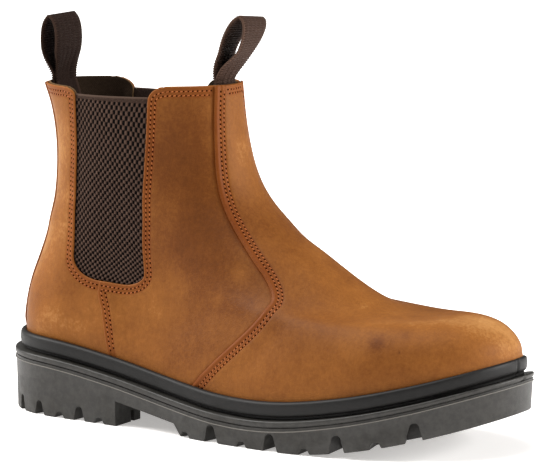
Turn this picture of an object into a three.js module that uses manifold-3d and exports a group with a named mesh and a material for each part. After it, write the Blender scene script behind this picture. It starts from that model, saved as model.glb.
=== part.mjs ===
// A right-foot pull-on safety boot with elastic side gussets, in millimetres: +X to the toe, +Y to the
// inner side of the foot, +Z up, with the origin on the floor under the middle of the boot.
import * as THREE from "three";
import { mergeVertices } from "three/addons/utils/BufferGeometryUtils.js";
import Module from "manifold-3d";

const wasm = await Module();
wasm.setup();
const { clamp, lerp } = THREE.MathUtils;

// Overall sizes
const SOLE_LENGTH = 296;
const BALL_WIDTH = 108;
const HEEL_HEIGHT = 41.7; // floor to the line where the upper leaves the sole, at the heel
const COLLAR_BACK = 172;
const COLLAR_FRONT = 176.6;
const FIT_GAP = 0.3;

// Rand sizes
const RAND_OVERHANG = 3.3; // rand beyond the upper
const RAND_HEIGHT = 7;
const RAND_ROUND = 2;
const NECK_HEIGHT = 2; // groove below the rand
const NECK_INSET = 2.3;
const UPPER_TUCK = 5; // upper's edge below the rand's top

// Outsole sizes
const LEDGE_WIDTH = 2.6; // outsole beyond the rand
const LEDGE_ROUND = 1.4;
const LIP_DEPTH = 3.2; // rounded lip at the ledge's top
const LEDGE_DEPTH = 5.4; // ledge's top to the moulding line below it, at its deepest
const LIP_STEP = 0.6; // lip and moulding line beyond the side between them
const STEP_INSET = 0.5; // side below the moulding line, set back from it
const SIDE_BATTER = 0.8;
const EDGE_BEVEL = 0.8;
const TOE_SPRING = 20;
const SPRING_START = 0.66; // share of the last's length
const SPRING_POWER = 1.6;
const WAIST_THICKNESS = 12.7;
const HEEL_FRONT = 0.268; // share of the last's length at the heel's front face
const TREAD_FRONT = 0.405; // share of the last's length where the front tread starts
const TREAD_SLOPE = 5; // run of the front tread's back face
const HEEL_RECESS_DEPTH = 11;
const HEEL_RECESS_WIDTH = 38;

// Tread sizes
const FRONT_LUGS = 4;
const FRONT_LUG_START = 0.496; // share of the last's length at the first side notch
const FRONT_LUG_PITCH = 36.6;
const FRONT_NICK_BACK = 0.475; // share of the pitch from a notch back to its nick
const HEEL_LUGS = 2;
const HEEL_LUG_START = 0.094;
const HEEL_LUG_PITCH = 26;
const HEEL_CORNER_TURN = 0.86; // share of the half turn from the toe to the notch at the heel's corner
const LUG_REACH = 22;
const NOTCH_WIDTH = 9;
const NOTCH_DEPTH = 9.5;
const NICK_WIDTH = 6.6;
const NICK_DEPTH = 3.2;
const NOTCH_TAPER = 0.58; // width at a notch's top as a share of its width at the floor
const CHANNEL_WIDTH = 5;
const CHANNEL_DEPTH = 4.5;
const CHEVRON_LEAN = 8;

// Upper sizes
const UPPER_WALL = 2.8; // leather and lining together
const SEAM_STEP = 1.1; // thickness of leather that laps over the next panel
const SEAM_FADE = 16; // run in which a lapped panel comes back to the general surface
const STRIP_HALF_TOP = 10.5; // half the back strip's width
const STRIP_HALF_FOOT = 17;
const INSOLE_THICKNESS = 4;
const INSOLE_ROUND = 1;

// Gusset sizes
const GUSSET_WIDTH = 44;
const GUSSET_FOOT_BACK = 0.272; // share of the upper's height at the foot of the gusset's back edge
const GUSSET_FOOT_FRONT = 0.302;
const GUSSET_DROP_OUTER = 4; // outer gusset's top below the collar
const GUSSET_DROP_INNER = 7;
const GUSSET_THICKNESS = 1.5;
const GUSSET_RECESS = 0.9;
const GUSSET_FRONT_ROUND = 13;
const GUSSET_BACK_ROUND = 18;
const COLLAR_ROUND_DROP = 5; // rounded corners of the leather beside a gusset
const COLLAR_ROUND_RUN = 8;

// Pull loop sizes
const WEBBING_WIDTH = 25;
const WEBBING_THICKNESS = 1.5;
const LOOP_RISE = 36;
const LOOP_WIDTH = 13.5;
const LOOP_NECK = 4; // collar to the foot of the finger gap
const LOOP_TAB = 15;
const FRONT_LOOP_LEAN = 17;
const FRONT_LOOP_TWIST = 14; // degrees
const BACK_LOOP_LEAN = 0;
const BACK_LOOP_TWIST = 0;

// Mesh steps
const SOLE_COLUMNS = 68;
const STEP_SLOT = 0.35; // half the width of a seam step's face

// What follows from the sizes
const SOLE_MARGIN = RAND_OVERHANG + LEDGE_WIDTH;
const LAST_LENGTH = SOLE_LENGTH - 2 * SOLE_MARGIN;
const LAST_WIDTH = BALL_WIDTH - 2 * SOLE_MARGIN;
const LAST_BACK = -LAST_LENGTH / 2;

// Plan of the last at the sole: half its width and its centre's place, as shares of LAST_WIDTH, at
// shares of LAST_LENGTH.
const PLAN = [
  { at: 0.0, half: 0.38, centre: 0.0 },
  { at: 0.12, half: 0.378, centre: 0.0 },
  { at: 0.35, half: 0.385, centre: -0.035 },
  { at: 0.5, half: 0.445, centre: -0.055 },
  { at: 0.64, half: 0.495, centre: -0.045 },
  { at: 0.76, half: 0.493, centre: -0.02 },
  { at: 0.88, half: 0.465, centre: 0.015 },
  { at: 1.0, half: 0.43, centre: 0.05 },
];

// Height of the line where the upper leaves the sole, as a share of HEEL_HEIGHT.
const FEATHER = [
  { at: 0.0, height: 1.0 },
  { at: 0.12, height: 0.975 },
  { at: 0.25, height: 0.86 },
  { at: 0.4, height: 0.685 },
  { at: 0.52, height: 0.595 },
  { at: 0.63, height: 0.605 },
  { at: 0.75, height: 0.72 },
  { at: 0.87, height: 0.905 },
  { at: 1.0, height: 1.16 },
];

// Side of the sole: rand as a share of RAND_OVERHANG, depth of LEDGE_DEPTH and width of LEDGE_WIDTH.
const SIDES = [
  { at: 0.0, rand: 1.0, depth: 0.96, width: 1.1 },
  { at: 0.35, rand: 1.0, depth: 1.0, width: 1.0 },
  { at: 0.6, rand: 1.0, depth: 1.0, width: 1.0 },
  { at: 0.8, rand: 0.9, depth: 0.88, width: 1.1 },
  { at: 1.0, rand: 0.65, depth: 0.78, width: 1.35 },
];

// Rings of the upper from the sole (s 0) to the collar (s 1). back and front are places as shares of
// LAST_LENGTH, backRise and frontRise shares of the way from the sole up to the collar, and sag is how
// much of the sole's curve the ring keeps. heelReach and reach are the runs of the rounded ends as
// shares of LAST_LENGTH, and power their fullness. heel, waist, ball and toe widen the plan, and crest
// moves the front end to the inner side by a share of LAST_WIDTH.
const RINGS = [
  { s: 0.0, back: 0.0, backRise: 0.0, front: 1.0, frontRise: 0.0, sag: 1.0, heelReach: 0.14,
    reach: 0.25, power: 2.3, heel: 0.95, waist: 1.0, ball: 1.0, toe: 1.0, crest: 0.0 },
  { s: 0.08, back: 0.002, backRise: 0.079, front: 0.995, frontRise: 0.061, sag: 0.9, heelReach: 0.14,
    reach: 0.26, power: 2.3, heel: 1.0, waist: 0.98, ball: 1.0, toe: 1.0, crest: 0.0 },
  { s: 0.17, back: 0.01, backRise: 0.172, front: 0.976, frontRise: 0.123, sag: 0.8, heelReach: 0.14,
    reach: 0.28, power: 2.35, heel: 1.0, waist: 0.92, ball: 0.96, toe: 0.98, crest: 0.0 },
  { s: 0.27, back: 0.025, backRise: 0.272, front: 0.934, frontRise: 0.182, sag: 0.65, heelReach: 0.14,
    reach: 0.32, power: 2.4, heel: 0.96, waist: 0.86, ball: 0.9, toe: 0.93, crest: 0.01 },
  { s: 0.37, back: 0.04, backRise: 0.372, front: 0.864, frontRise: 0.215, sag: 0.5, heelReach: 0.14,
    reach: 0.37, power: 2.35, heel: 0.92, waist: 0.83, ball: 0.85, toe: 0.85, crest: 0.02 },
  { s: 0.46, back: 0.051, backRise: 0.465, front: 0.772, frontRise: 0.233, sag: 0.35, heelReach: 0.145,
    reach: 0.4, power: 2.3, heel: 0.89, waist: 0.83, ball: 0.81, toe: 0.8, crest: 0.03 },
  { s: 0.55, back: 0.06, backRise: 0.557, front: 0.683, frontRise: 0.345, sag: 0.25, heelReach: 0.15,
    reach: 0.4, power: 2.25, heel: 0.875, waist: 0.83, ball: 0.78, toe: 0.8, crest: 0.03 },
  { s: 0.64, back: 0.065, backRise: 0.648, front: 0.588, frontRise: 0.463, sag: 0.15, heelReach: 0.16,
    reach: 0.35, power: 2.2, heel: 0.87, waist: 0.84, ball: 0.76, toe: 0.8, crest: 0.03 },
  { s: 0.73, back: 0.066, backRise: 0.74, front: 0.504, frontRise: 0.57, sag: 0.1, heelReach: 0.17,
    reach: 0.29, power: 2.15, heel: 0.87, waist: 0.845, ball: 0.76, toe: 0.8, crest: 0.03 },
  { s: 0.82, back: 0.062, backRise: 0.828, front: 0.46, frontRise: 0.696, sag: 0.05, heelReach: 0.18,
    reach: 0.24, power: 2.1, heel: 0.875, waist: 0.85, ball: 0.76, toe: 0.8, crest: 0.03 },
  { s: 0.91, back: 0.053, backRise: 0.916, front: 0.437, frontRise: 0.845, sag: 0.0, heelReach: 0.185,
    reach: 0.215, power: 2.05, heel: 0.88, waist: 0.85, ball: 0.76, toe: 0.8, crest: 0.03 },
  { s: 1.0, back: 0.039, backRise: 1.0, front: 0.426, frontRise: 1.0, sag: 0.0, heelReach: 0.185,
    reach: 0.2, power: 2.0, heel: 0.885, waist: 0.85, ball: 0.76, toe: 0.8, crest: 0.03 },
];
const STATIONS = { heel: 0.12, waist: 0.35, ball: 0.66, toe: 0.9 };

// Lines on the upper, as shares of the half turn from the front (0) to the back (1): where the vamp laps
// over the side panels, where the front side panel laps over the rear one, and the gusset's middle.
const VAMP_SEAM = [
  { s: 0.0, turn: 0.538 },
  { s: 0.06, turn: 0.521 },
  { s: 0.15, turn: 0.492 },
  { s: 0.26, turn: 0.448 },
  { s: 0.39, turn: 0.386 },
  { s: 0.48, turn: 0.328 },
  { s: 0.53, turn: 0.305 },
  { s: 0.6, turn: 0.287 },
  { s: 0.68, turn: 0.252 },
  { s: 0.76, turn: 0.214 },
  { s: 0.83, turn: 0.184 },
  { s: 0.9, turn: 0.157 },
  { s: 1.0, turn: 0.128 },
];
const REAR_SEAM = [
  { s: 0.0, turn: 0.672 },
  { s: 0.08, turn: 0.677 },
  { s: 0.17, turn: 0.686 },
  { s: 0.25, turn: 0.696 },
  { s: 0.4, turn: 0.68 },
  { s: 0.6, turn: 0.64 },
  { s: 0.8, turn: 0.563 },
  { s: 1.0, turn: 0.505 },
];
const GUSSET_LINE = [
  { s: 0.3, turn: 0.685 },
  { s: 0.45, turn: 0.671 },
  { s: 0.55, turn: 0.654 },
  { s: 0.66, turn: 0.619 },
  { s: 0.78, turn: 0.571 },
  { s: 0.89, turn: 0.535 },
  { s: 1.0, turn: 0.505 },
];

// Reads a table's column between its rows, on a smooth curve through them and straight beyond the ends.
function read(table, column, place, by = "at") {
  let row = 0;
  while (row < table.length - 2 && place > table[row + 1][by]) row += 1;
  const [low, high] = [table[row], table[row + 1]];
  const span = high[by] - low[by];
  const slopeAt = (i) => {
    const before = table[Math.max(i - 1, 0)];
    const after = table[Math.min(i + 1, table.length - 1)];
    return (after[column] - before[column]) / (after[by] - before[by]);
  };
  const t = (place - low[by]) / span;
  if (t < 0) return low[column] + slopeAt(row) * span * t;
  if (t > 1) return high[column] + slopeAt(row + 1) * span * (t - 1);
  const bend = t * t * (3 - 2 * t);
  const lift = slopeAt(row) * t * (1 - t) * (1 - t) - slopeAt(row + 1) * t * t * (1 - t);
  return lerp(low[column], high[column], bend) + span * lift;
}

const featherAt = (at) => HEEL_HEIGHT * read(FEATHER, "height", at);
const shareAt = (x) => (x - LAST_BACK) / LAST_LENGTH;
const placeAt = (at) => LAST_BACK + at * LAST_LENGTH;

// Half width of a rounded end, as a share, at a share of the end's run.
function roundedEnd(share, power) {
  const left = 1 - clamp(share, 0, 1);
  return (1 - left ** power) ** (1 / power);
}

// All columns of the ring at s.
const ringCache = new Map();
function ringAt(s) {
  if (!ringCache.has(s)) {
    const columns = Object.keys(RINGS[0]).filter((name) => name !== "s");
    const ring = Object.fromEntries(columns.map((name) => [name, read(RINGS, name, s, "s")]));
    ring.widths = Object.entries(STATIONS).map(([name, at]) => ({ at, share: ring[name] }));
    ring.backHeight = lerp(featherAt(ring.back), COLLAR_BACK, ring.backRise);
    ring.frontHeight = lerp(featherAt(ring.front), COLLAR_FRONT, ring.frontRise);
    ring.crook = clamp(1 - s, 0, 1);
    ringCache.set(s, ring);
  }
  return ringCache.get(s);
}

// Point of the upper's general surface on the ring at s. The angle is 0 at the front, positive on the
// inner side and half a turn at the back.
function lastPoint(s, angle) {
  const ring = ringAt(s);
  const t = (1 + Math.cos(angle)) / 2;
  const at = lerp(ring.back, ring.front, t);
  const heelEnd = roundedEnd((at - ring.back) / ring.heelReach, 2.15);
  const toeEnd = roundedEnd((ring.front - at) / ring.reach, ring.power);
  const widening = read(ring.widths, "share", clamp(at, STATIONS.heel, STATIONS.toe));
  const half = LAST_WIDTH * read(PLAN, "half", at) * widening * heelEnd * toeEnd;
  const middle = LAST_WIDTH * (read(PLAN, "centre", at) * ring.crook + ring.crest * t * t);
  const chord = lerp(featherAt(ring.back), featherAt(ring.front), t);
  const eased = lerp(t, t * t * (3 - 2 * t), clamp((s - 0.8) / 0.2, 0, 1));
  const height = lerp(ring.backHeight, ring.frontHeight, eased) + ring.sag * (featherAt(at) - chord);
  return new THREE.Vector3(placeAt(at), middle + Math.sign(Math.sin(angle)) * half, height);
}

// Outward normal of the upper's general surface.
function lastNormal(s, angle) {
  const round = lastPoint(s, angle + 0.02).sub(lastPoint(s, angle - 0.02));
  const up = lastPoint(s + 0.004, angle).sub(lastPoint(s - 0.004, angle));
  return round.cross(up).normalize();
}

// Point that stands out from the upper's general surface.
function skin(s, angle, out = 0) {
  return lastPoint(s, angle).addScaledVector(lastNormal(s, angle), out);
}

// Angle reached after a run in millimetres round the ring at s.
function travel(s, from, run) {
  const stride = 0.02 * Math.sign(run);
  let angle = from;
  let left = Math.abs(run);
  while (left > 0) {
    const length = lastPoint(s, angle).distanceTo(lastPoint(s, angle + stride));
    angle += stride * Math.min(1, left / length);
    left -= length;
  }
  return angle;
}

// Millimetres per radian round the ring, and per unit of s up the side.
const roundSpeed = (s, angle) => lastPoint(s, angle + 0.05).distanceTo(lastPoint(s, angle - 0.05)) / 0.1;
const riseSpeed = (s, angle) => lastPoint(s + 0.01, angle).distanceTo(lastPoint(s - 0.01, angle)) / 0.02;

const seamAngle = (table, s) => Math.PI * clamp(read(table, "turn", s, "s"), 0.02, 0.98);
const stripAngle = (s) => travel(s, Math.PI, -lerp(STRIP_HALF_FOOT, STRIP_HALF_TOP, clamp(s / 0.4, 0, 1)));

// Geometry from points and triangle corners, turned to face outwards.
function solidFrom(points, corners) {
  const geometry = new THREE.BufferGeometry().setFromPoints(points);
  let volume = 0;
  for (let i = 0; i < corners.length; i += 3) {
    const [a, b, c] = [points[corners[i]], points[corners[i + 1]], points[corners[i + 2]]];
    volume += a.dot(b.clone().cross(c));
  }
  geometry.setIndex(volume < 0 ? corners.slice().reverse() : corners);
  return geometry;
}

const quad = (a, b, c, d) => [a, b, c, a, c, d];

// Closed solid through a stack of closed rows of equal length. Each row starts at the toe and its second
// half mirrors its first, so that the end caps run straight across.
function loft(rows) {
  const count = rows[0].length;
  const corners = [];
  for (let r = 0; r < rows.length - 1; r += 1) {
    for (let c = 0; c < count; c += 1) {
      const next = (c + 1) % count;
      corners.push(...quad(r * count + c, r * count + next, (r + 1) * count + next, (r + 1) * count + c));
    }
  }
  const top = (rows.length - 1) * count;
  for (let c = 0; c < count / 2; c += 1) {
    const [here, next] = [c, c + 1];
    const [far, farNext] = [(count - c) % count, (count - c - 1) % count];
    const bottomCap = quad(here, far, farNext, next);
    const topCap = quad(here, next, farNext, far).map((corner) => corner + top);
    corners.push(...bottomCap, ...topCap);
  }
  return solidFrom(rows.flat(), corners.filter(Number.isInteger));
}

// Closed solid between two grids of equal size.
function shell(outer, inner) {
  const rows = outer.length;
  const columns = outer[0].length;
  const shift = rows * columns;
  const id = (r, c) => r * columns + c;
  const corners = [];
  for (let r = 0; r < rows - 1; r += 1) {
    for (let c = 0; c < columns - 1; c += 1) {
      const face = quad(id(r, c), id(r, c + 1), id(r + 1, c + 1), id(r + 1, c));
      corners.push(...face, ...face.map((corner) => corner + shift).reverse());
    }
  }
  const edge = (a, b) => corners.push(...quad(b, a, a + shift, b + shift));
  for (let c = 0; c < columns - 1; c += 1) {
    edge(id(0, c), id(0, c + 1));
    edge(id(rows - 1, c + 1), id(rows - 1, c));
  }
  for (let r = 0; r < rows - 1; r += 1) {
    edge(id(r + 1, 0), id(r, 0));
    edge(id(r, columns - 1), id(r + 1, columns - 1));
  }
  return solidFrom([...outer.flat(), ...inner.flat()], corners);
}

function toSolid(geometry) {
  const bare = geometry.clone();
  bare.deleteAttribute("normal");
  bare.deleteAttribute("uv");
  const merged = mergeVertices(bare, 1e-5);
  return new wasm.Manifold(new wasm.Mesh({
    numProp: 3,
    vertProperties: new Float32Array(merged.attributes.position.array),
    triVerts: new Uint32Array(merged.index.array),
  }));
}

function toGeometry(solid) {
  const { vertProperties, triVerts } = solid.getMesh();
  const geometry = new THREE.BufferGeometry();
  geometry.setAttribute("position", new THREE.BufferAttribute(new Float32Array(vertProperties), 3));
  geometry.setIndex(new THREE.BufferAttribute(new Uint32Array(triVerts), 1));
  return geometry;
}

function cutAway(geometry, cutters) {
  return toGeometry(cutters.reduce((solid, cutter) => solid.subtract(toSolid(cutter)), toSolid(geometry)));
}

const steps = (count, end = 1) => Array.from({ length: count + 1 }, (_, i) => (end * i) / count);

// Sole

// Point of the sole's edge: out beyond the last, and at a height that depends on its place.
function rimPoint(angle, out, height) {
  const round = lastPoint(0, angle + 0.02).sub(lastPoint(0, angle - 0.02));
  const normal = new THREE.Vector3(-round.y, round.x, 0).normalize().negate();
  const foot = lastPoint(0, angle);
  const at = shareAt(foot.x);
  const point = foot.addScaledVector(normal, out(at));
  point.z = height(shareAt(point.x), at);
  return point;
}

function rimRow(out, height) {
  const row = [];
  for (let i = 0; i < SOLE_COLUMNS; i += 1) row.push(rimPoint((i / SOLE_COLUMNS) * 2 * Math.PI, out, height));
  return row;
}

function groundAt(at) {
  const share = Math.max(0, (at - SPRING_START) / (1 - SPRING_START));
  return TOE_SPRING * share ** SPRING_POWER;
}

const sideAt = (column, at) => read(SIDES, column, clamp(at, 0, 1));
const randOut = (at) => RAND_OVERHANG * sideAt("rand", at);
const ledgeOut = (at) => randOut(at) + LEDGE_WIDTH * sideAt("width", at);
const ledgeTop = (at) => featherAt(at) - RAND_HEIGHT - NECK_HEIGHT - FIT_GAP;

function makeMidsole() {
  const soft = RAND_ROUND * (1 - Math.SQRT1_2);
  const edge = [
    { inset: NECK_INSET, drop: RAND_HEIGHT + NECK_HEIGHT },
    { inset: NECK_INSET, drop: RAND_HEIGHT },
    { inset: RAND_ROUND * 0.6, drop: RAND_HEIGHT },
    { inset: 0, drop: RAND_HEIGHT - RAND_ROUND * 0.8 },
    { inset: 0, drop: RAND_ROUND },
    { inset: soft, drop: soft },
    { inset: RAND_ROUND, drop: 0 },
  ].map(({ inset, drop }) => rimRow((at) => Math.max(randOut(at) - inset, FIT_GAP), (at) => featherAt(at) - drop));
  const well = [0, UPPER_TUCK + FIT_GAP].map((drop) => rimRow(() => FIT_GAP, (at) => featherAt(at) - drop));
  return loft([...edge, ...well]);
}

function outsoleBlank() {
  const line = (at) => ledgeTop(at) - LEDGE_DEPTH * sideAt("depth", at);
  const lip = (at) => ledgeTop(at) - LIP_DEPTH * sideAt("depth", at);
  const soft = LEDGE_ROUND * (1 - Math.SQRT1_2);
  const foot = STEP_INSET + SIDE_BATTER;
  return loft([
    rimRow((at) => ledgeOut(at) - foot - EDGE_BEVEL, groundAt),
    rimRow((at) => ledgeOut(at) - foot, (at) => groundAt(at) + EDGE_BEVEL),
    rimRow((at) => ledgeOut(at) - STEP_INSET, (at) => line(at) - STEP_INSET),
    rimRow(ledgeOut, line),
    rimRow((at) => ledgeOut(at) - LIP_STEP, (at) => line(at) + LIP_STEP),
    rimRow((at) => ledgeOut(at) - LIP_STEP, lip),
    rimRow(ledgeOut, (at) => lip(at) + LIP_STEP / 2),
    rimRow(ledgeOut, (at) => ledgeTop(at) - LEDGE_ROUND),
    rimRow((at) => ledgeOut(at) - soft, (at) => ledgeTop(at) - soft),
    rimRow((at) => ledgeOut(at) - LEDGE_ROUND, ledgeTop),
  ]);
}

// Straight bar along Y of a side view given by points of X and Z.
function sidePrism(points, from, to) {
  const shape = new THREE.Shape(points.map(([x, z]) => new THREE.Vector2(x, z)));
  const bar = new THREE.ExtrudeGeometry(shape, { depth: to - from, bevelEnabled: false });
  return bar.rotateX(Math.PI / 2).translate(0, to, 0);
}

// Upright bar of a plan given by points of X and Y.
function planPrism(points, from, to) {
  const shape = new THREE.Shape(points.map(([x, y]) => new THREE.Vector2(x, y)));
  return new THREE.ExtrudeGeometry(shape, { depth: to - from, bevelEnabled: false }).translate(0, 0, from);
}

function waistCutter() {
  const below = -5;
  const under = (at) => featherAt(at) - RAND_HEIGHT - NECK_HEIGHT - WAIST_THICKNESS;
  const arch = steps(6).map((t) => lerp(HEEL_FRONT, TREAD_FRONT, t)).map((at) => [placeAt(at), under(at)]);
  const start = placeAt(HEEL_FRONT);
  const end = placeAt(TREAD_FRONT) + TREAD_SLOPE;
  return sidePrism([[start, below], ...arch, [end, 0], [end, below]], -BALL_WIDTH, BALL_WIDTH);
}

function heelRecessCutter() {
  const front = placeAt(HEEL_FRONT) + 1;
  const back = front - 1 - HEEL_RECESS_DEPTH;
  const half = HEEL_RECESS_WIDTH / 2;
  const plan = [[back, -half * 0.6], [front, -half], [front, half], [back, half * 0.6]];
  return planPrism(plan, -5, featherAt(HEEL_FRONT) - RAND_HEIGHT - NECK_HEIGHT - WAIST_THICKNESS);
}

// Gap between side lugs at an angle of the plan: narrow and round at the top, open at the floor and
// square to the sole's edge.
function notch(angle, width, depth) {
  const foot = rimPoint(angle, ledgeOut, groundAt);
  const inner = rimPoint(angle, (at) => ledgeOut(at) - LUG_REACH, groundAt);
  const crown = (width * NOTCH_TAPER) / 2;
  const arch = steps(6).map((t) => {
    const turn = Math.PI * (1 - t);
    return [crown * Math.cos(turn), depth - crown + crown * Math.sin(turn)];
  });
  const low = foot.z - inner.z > 0 ? inner.z - foot.z - 6 : -6;
  const shallow = depth < 2 * crown;
  const top = shallow ? [[-crown, depth], [crown, depth]] : arch;
  const side = [[-width / 2, low], [-width / 2, 0], ...top, [width / 2, 0], [width / 2, low]];
  const outward = Math.atan2(foot.y - inner.y, foot.x - inner.x);
  const bar = sidePrism(side, -LUG_REACH, LUG_REACH);
  return bar.rotateZ(outward - Math.PI / 2).translate(foot.x, foot.y, foot.z);
}

const notchPair = (angle, width, depth) => [notch(angle, width, depth), notch(-angle, width, depth)];
const planAngle = (at) => Math.acos(clamp(2 * at - 1, -1, 1));

// Groove across the tread that points to the toe.
function chevron(at) {
  const half = LAST_WIDTH * read(PLAN, "half", at) - LUG_REACH / 2;
  const middle = LAST_WIDTH * read(PLAN, "centre", at);
  const x = placeAt(at);
  const wide = CHANNEL_WIDTH / 2;
  const plan = [
    [x - wide, middle - half],
    [x + wide, middle - half],
    [x + wide + CHEVRON_LEAN, middle],
    [x + wide, middle + half],
    [x - wide, middle + half],
    [x - wide + CHEVRON_LEAN, middle],
  ];
  return planPrism(plan, -8, groundAt(at) + CHANNEL_DEPTH);
}

function makeOutsole() {
  const cutters = [waistCutter(), heelRecessCutter()];
  const lugGaps = (at, nick) => {
    cutters.push(...notchPair(planAngle(at), NOTCH_WIDTH, NOTCH_DEPTH));
    cutters.push(...notchPair(planAngle(nick), NICK_WIDTH, NICK_DEPTH));
  };
  for (let i = 0; i < FRONT_LUGS; i += 1) {
    const at = FRONT_LUG_START + (i * FRONT_LUG_PITCH) / LAST_LENGTH;
    lugGaps(at, at - (FRONT_NICK_BACK * FRONT_LUG_PITCH) / LAST_LENGTH);
    if (i < FRONT_LUGS - 1) cutters.push(chevron(at));
  }
  for (let i = 0; i < HEEL_LUGS; i += 1) {
    const at = HEEL_LUG_START + (i * HEEL_LUG_PITCH) / LAST_LENGTH;
    lugGaps(at, at + (0.5 * HEEL_LUG_PITCH) / LAST_LENGTH);
  }
  cutters.push(...notchPair(Math.PI * HEEL_CORNER_TURN, NOTCH_WIDTH * 0.8, NOTCH_DEPTH));
  return cutAway(outsoleBlank(), cutters);
}

function makeInsole() {
  const inset = UPPER_WALL + FIT_GAP + 0.4;
  const base = UPPER_TUCK;
  const profile = [
    { out: -inset, drop: base },
    { out: -inset, drop: base - INSOLE_THICKNESS + INSOLE_ROUND },
    { out: -inset - INSOLE_ROUND, drop: base - INSOLE_THICKNESS },
  ];
  return loft(profile.map(({ out, drop }) => rimRow(() => out, (at) => featherAt(at) - drop)));
}

// Upper

// How far the leather of a panel stands out of the general surface.
function raise(s, angle) {
  const turn = Math.abs(angle);
  const settle = clamp(s / 0.05, 0, 1);
  const vamp = seamAngle(VAMP_SEAM, s);
  const rear = seamAngle(REAR_SEAM, s);
  if (turn > stripAngle(s)) return SEAM_STEP * settle;
  if (turn > rear) return 0;
  const edge = turn < vamp ? vamp : rear;
  const distance = (edge - turn) * roundSpeed(s, (edge + turn) / 2);
  return SEAM_STEP * settle * clamp(1 - distance / SEAM_FADE, 0, 1);
}

// Angles of the mesh columns of one half ring from front to back, with a pair at each seam step.
function columnAngles(s) {
  const seams = [0, seamAngle(VAMP_SEAM, s), seamAngle(REAR_SEAM, s), stripAngle(s), Math.PI];
  const counts = [11, 8, 5, 3];
  const angles = [];
  counts.forEach((count, zone) => {
    const slot = (seam) => STEP_SLOT / roundSpeed(s, seams[seam]);
    const from = zone === 0 ? seams[0] : seams[zone] + slot(zone);
    const to = zone === counts.length - 1 ? seams[zone + 1] : seams[zone + 1] - slot(zone + 1);
    for (let i = 0; i <= count; i += 1) angles.push(lerp(from, to, i / count));
  });
  return angles;
}

function upperRow(s, tuck = 0) {
  const half = columnAngles(s);
  const mirrored = half.slice(1, -1).reverse().map((angle) => -angle);
  return [...half, ...mirrored].map((angle) => {
    const point = skin(s, angle, raise(s, angle));
    point.z -= tuck;
    return point;
  });
}

function innerRow(s, lift = 0) {
  const columns = 52;
  return Array.from({ length: columns }, (_, i) => {
    const point = skin(s, (i / columns) * 2 * Math.PI, -UPPER_WALL);
    point.z += lift;
    return point;
  });
}

const gussetRise = () => riseSpeed(0.5, Math.PI * 0.6);

// How far a rounded corner stands back at a distance from the corner's end.
function corner(round, distance) {
  const left = round - clamp(distance, 0, round);
  return round - Math.sqrt(round ** 2 - left ** 2);
}

// Grid over the gusset's outline, shrunk by inset, from its foot to a share of the upper's height. The
// further rows at the levels in beyond run on above it, and its top corners open out where it is a cut.
function gussetGrid(side, inset, top, out, beyond = []) {
  const rows = [0, 0.08, 0.2, 0.35, 0.5, 0.65, 0.8, 0.9, 0.95, 0.975, 1];
  const width = GUSSET_WIDTH - 2 * inset;
  const rise = gussetRise();
  const columns = steps(14).map((t) => (1 - Math.cos(Math.PI * t)) / 2);
  return [...rows, ...beyond].map((v) => columns.map((u) => {
    const lift = corner(GUSSET_FRONT_ROUND, u * width) + corner(GUSSET_BACK_ROUND, (1 - u) * width);
    const foot = lerp(GUSSET_FOOT_FRONT, GUSSET_FOOT_BACK, u) + (lift + inset) / rise;
    const s = lerp(foot, top, v);
    const opening = corner(COLLAR_ROUND_DROP, (1 - s) * rise) / COLLAR_ROUND_DROP;
    const spread = inset > 0 ? 0 : COLLAR_ROUND_RUN * opening;
    const run = (2 * u - 1) * (width / 2 + spread);
    return skin(s, side * travel(s, seamAngle(GUSSET_LINE, s), run), out);
  }));
}

function gussetCutter(side) {
  const wall = (out) => gussetGrid(side, 0, 1, out, [1.06]);
  return shell(wall(5), wall(-UPPER_WALL - 3));
}

function makeGusset(side) {
  const drop = side < 0 ? GUSSET_DROP_OUTER : GUSSET_DROP_INNER;
  const face = (out) => gussetGrid(side, FIT_GAP, 1 - drop / gussetRise(), out);
  return shell(face(-GUSSET_RECESS), face(-GUSSET_RECESS - GUSSET_THICKNESS));
}

function makeUpper() {
  const levels = [0, 0.025, 0.06, 0.1, 0.15, 0.2, 0.26, 0.32, 0.38, 0.44, 0.5, 0.56, 0.62, 0.68, 0.74,
    0.8, 0.86, 0.92, 0.97, 1];
  const outer = loft([upperRow(0, UPPER_TUCK), ...levels.map((s) => upperRow(s))]);
  const innerLevels = [0, 0.05, 0.11, 0.18, 0.26, 0.34, 0.42, 0.5, 0.58, 0.66, 0.74, 0.82, 0.91, 1];
  const inner = loft([innerRow(0, -UPPER_TUCK - 4), ...innerLevels.map((s) => innerRow(s)), innerRow(1, 6)]);
  return cutAway(outer, [inner, gussetCutter(1), gussetCutter(-1)]);
}

// Pull loops

// Place on a loop's webbing: across it, out from the upper's general surface and up from the collar. It
// follows the collar's curve up to its neck and is flat, leant and twisted above that.
function webbingPoint(loop, across, out, up) {
  const angle = travel(1, loop.angle, across);
  if (up <= 0) return skin(1 + up / riseSpeed(0.97, angle), angle, out);
  const free = Math.max(0, up - 2 * WEBBING_THICKNESS);
  const tilt = loop.lean * (free / LOOP_RISE) ** 1.2;
  const curved = skin(1, angle, out + tilt).add(new THREE.Vector3(0, 0, up));
  const ease = clamp(free / (2 * LOOP_NECK), 0, 1);
  const facing = loop.angle + loop.twist * (Math.PI / 180) * ease;
  const outward = new THREE.Vector3(Math.cos(facing), Math.sin(facing), 0);
  const along = new THREE.Vector3(-outward.y, outward.x, 0);
  const flat = skin(1, loop.angle).addScaledVector(outward, out + tilt).addScaledVector(along, across);
  flat.z += up;
  return curved.lerp(flat, ease);
}

function teardrop(half, foot, top) {
  const points = [];
  for (let i = 1; i < 12; i += 1) {
    const turn = (Math.PI * i) / 12;
    points.push([half * Math.sin(turn) * Math.sin(turn / 2) ** 0.9, lerp(foot, top, (1 - Math.cos(turn)) / 2)]);
  }
  return points;
}

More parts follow.
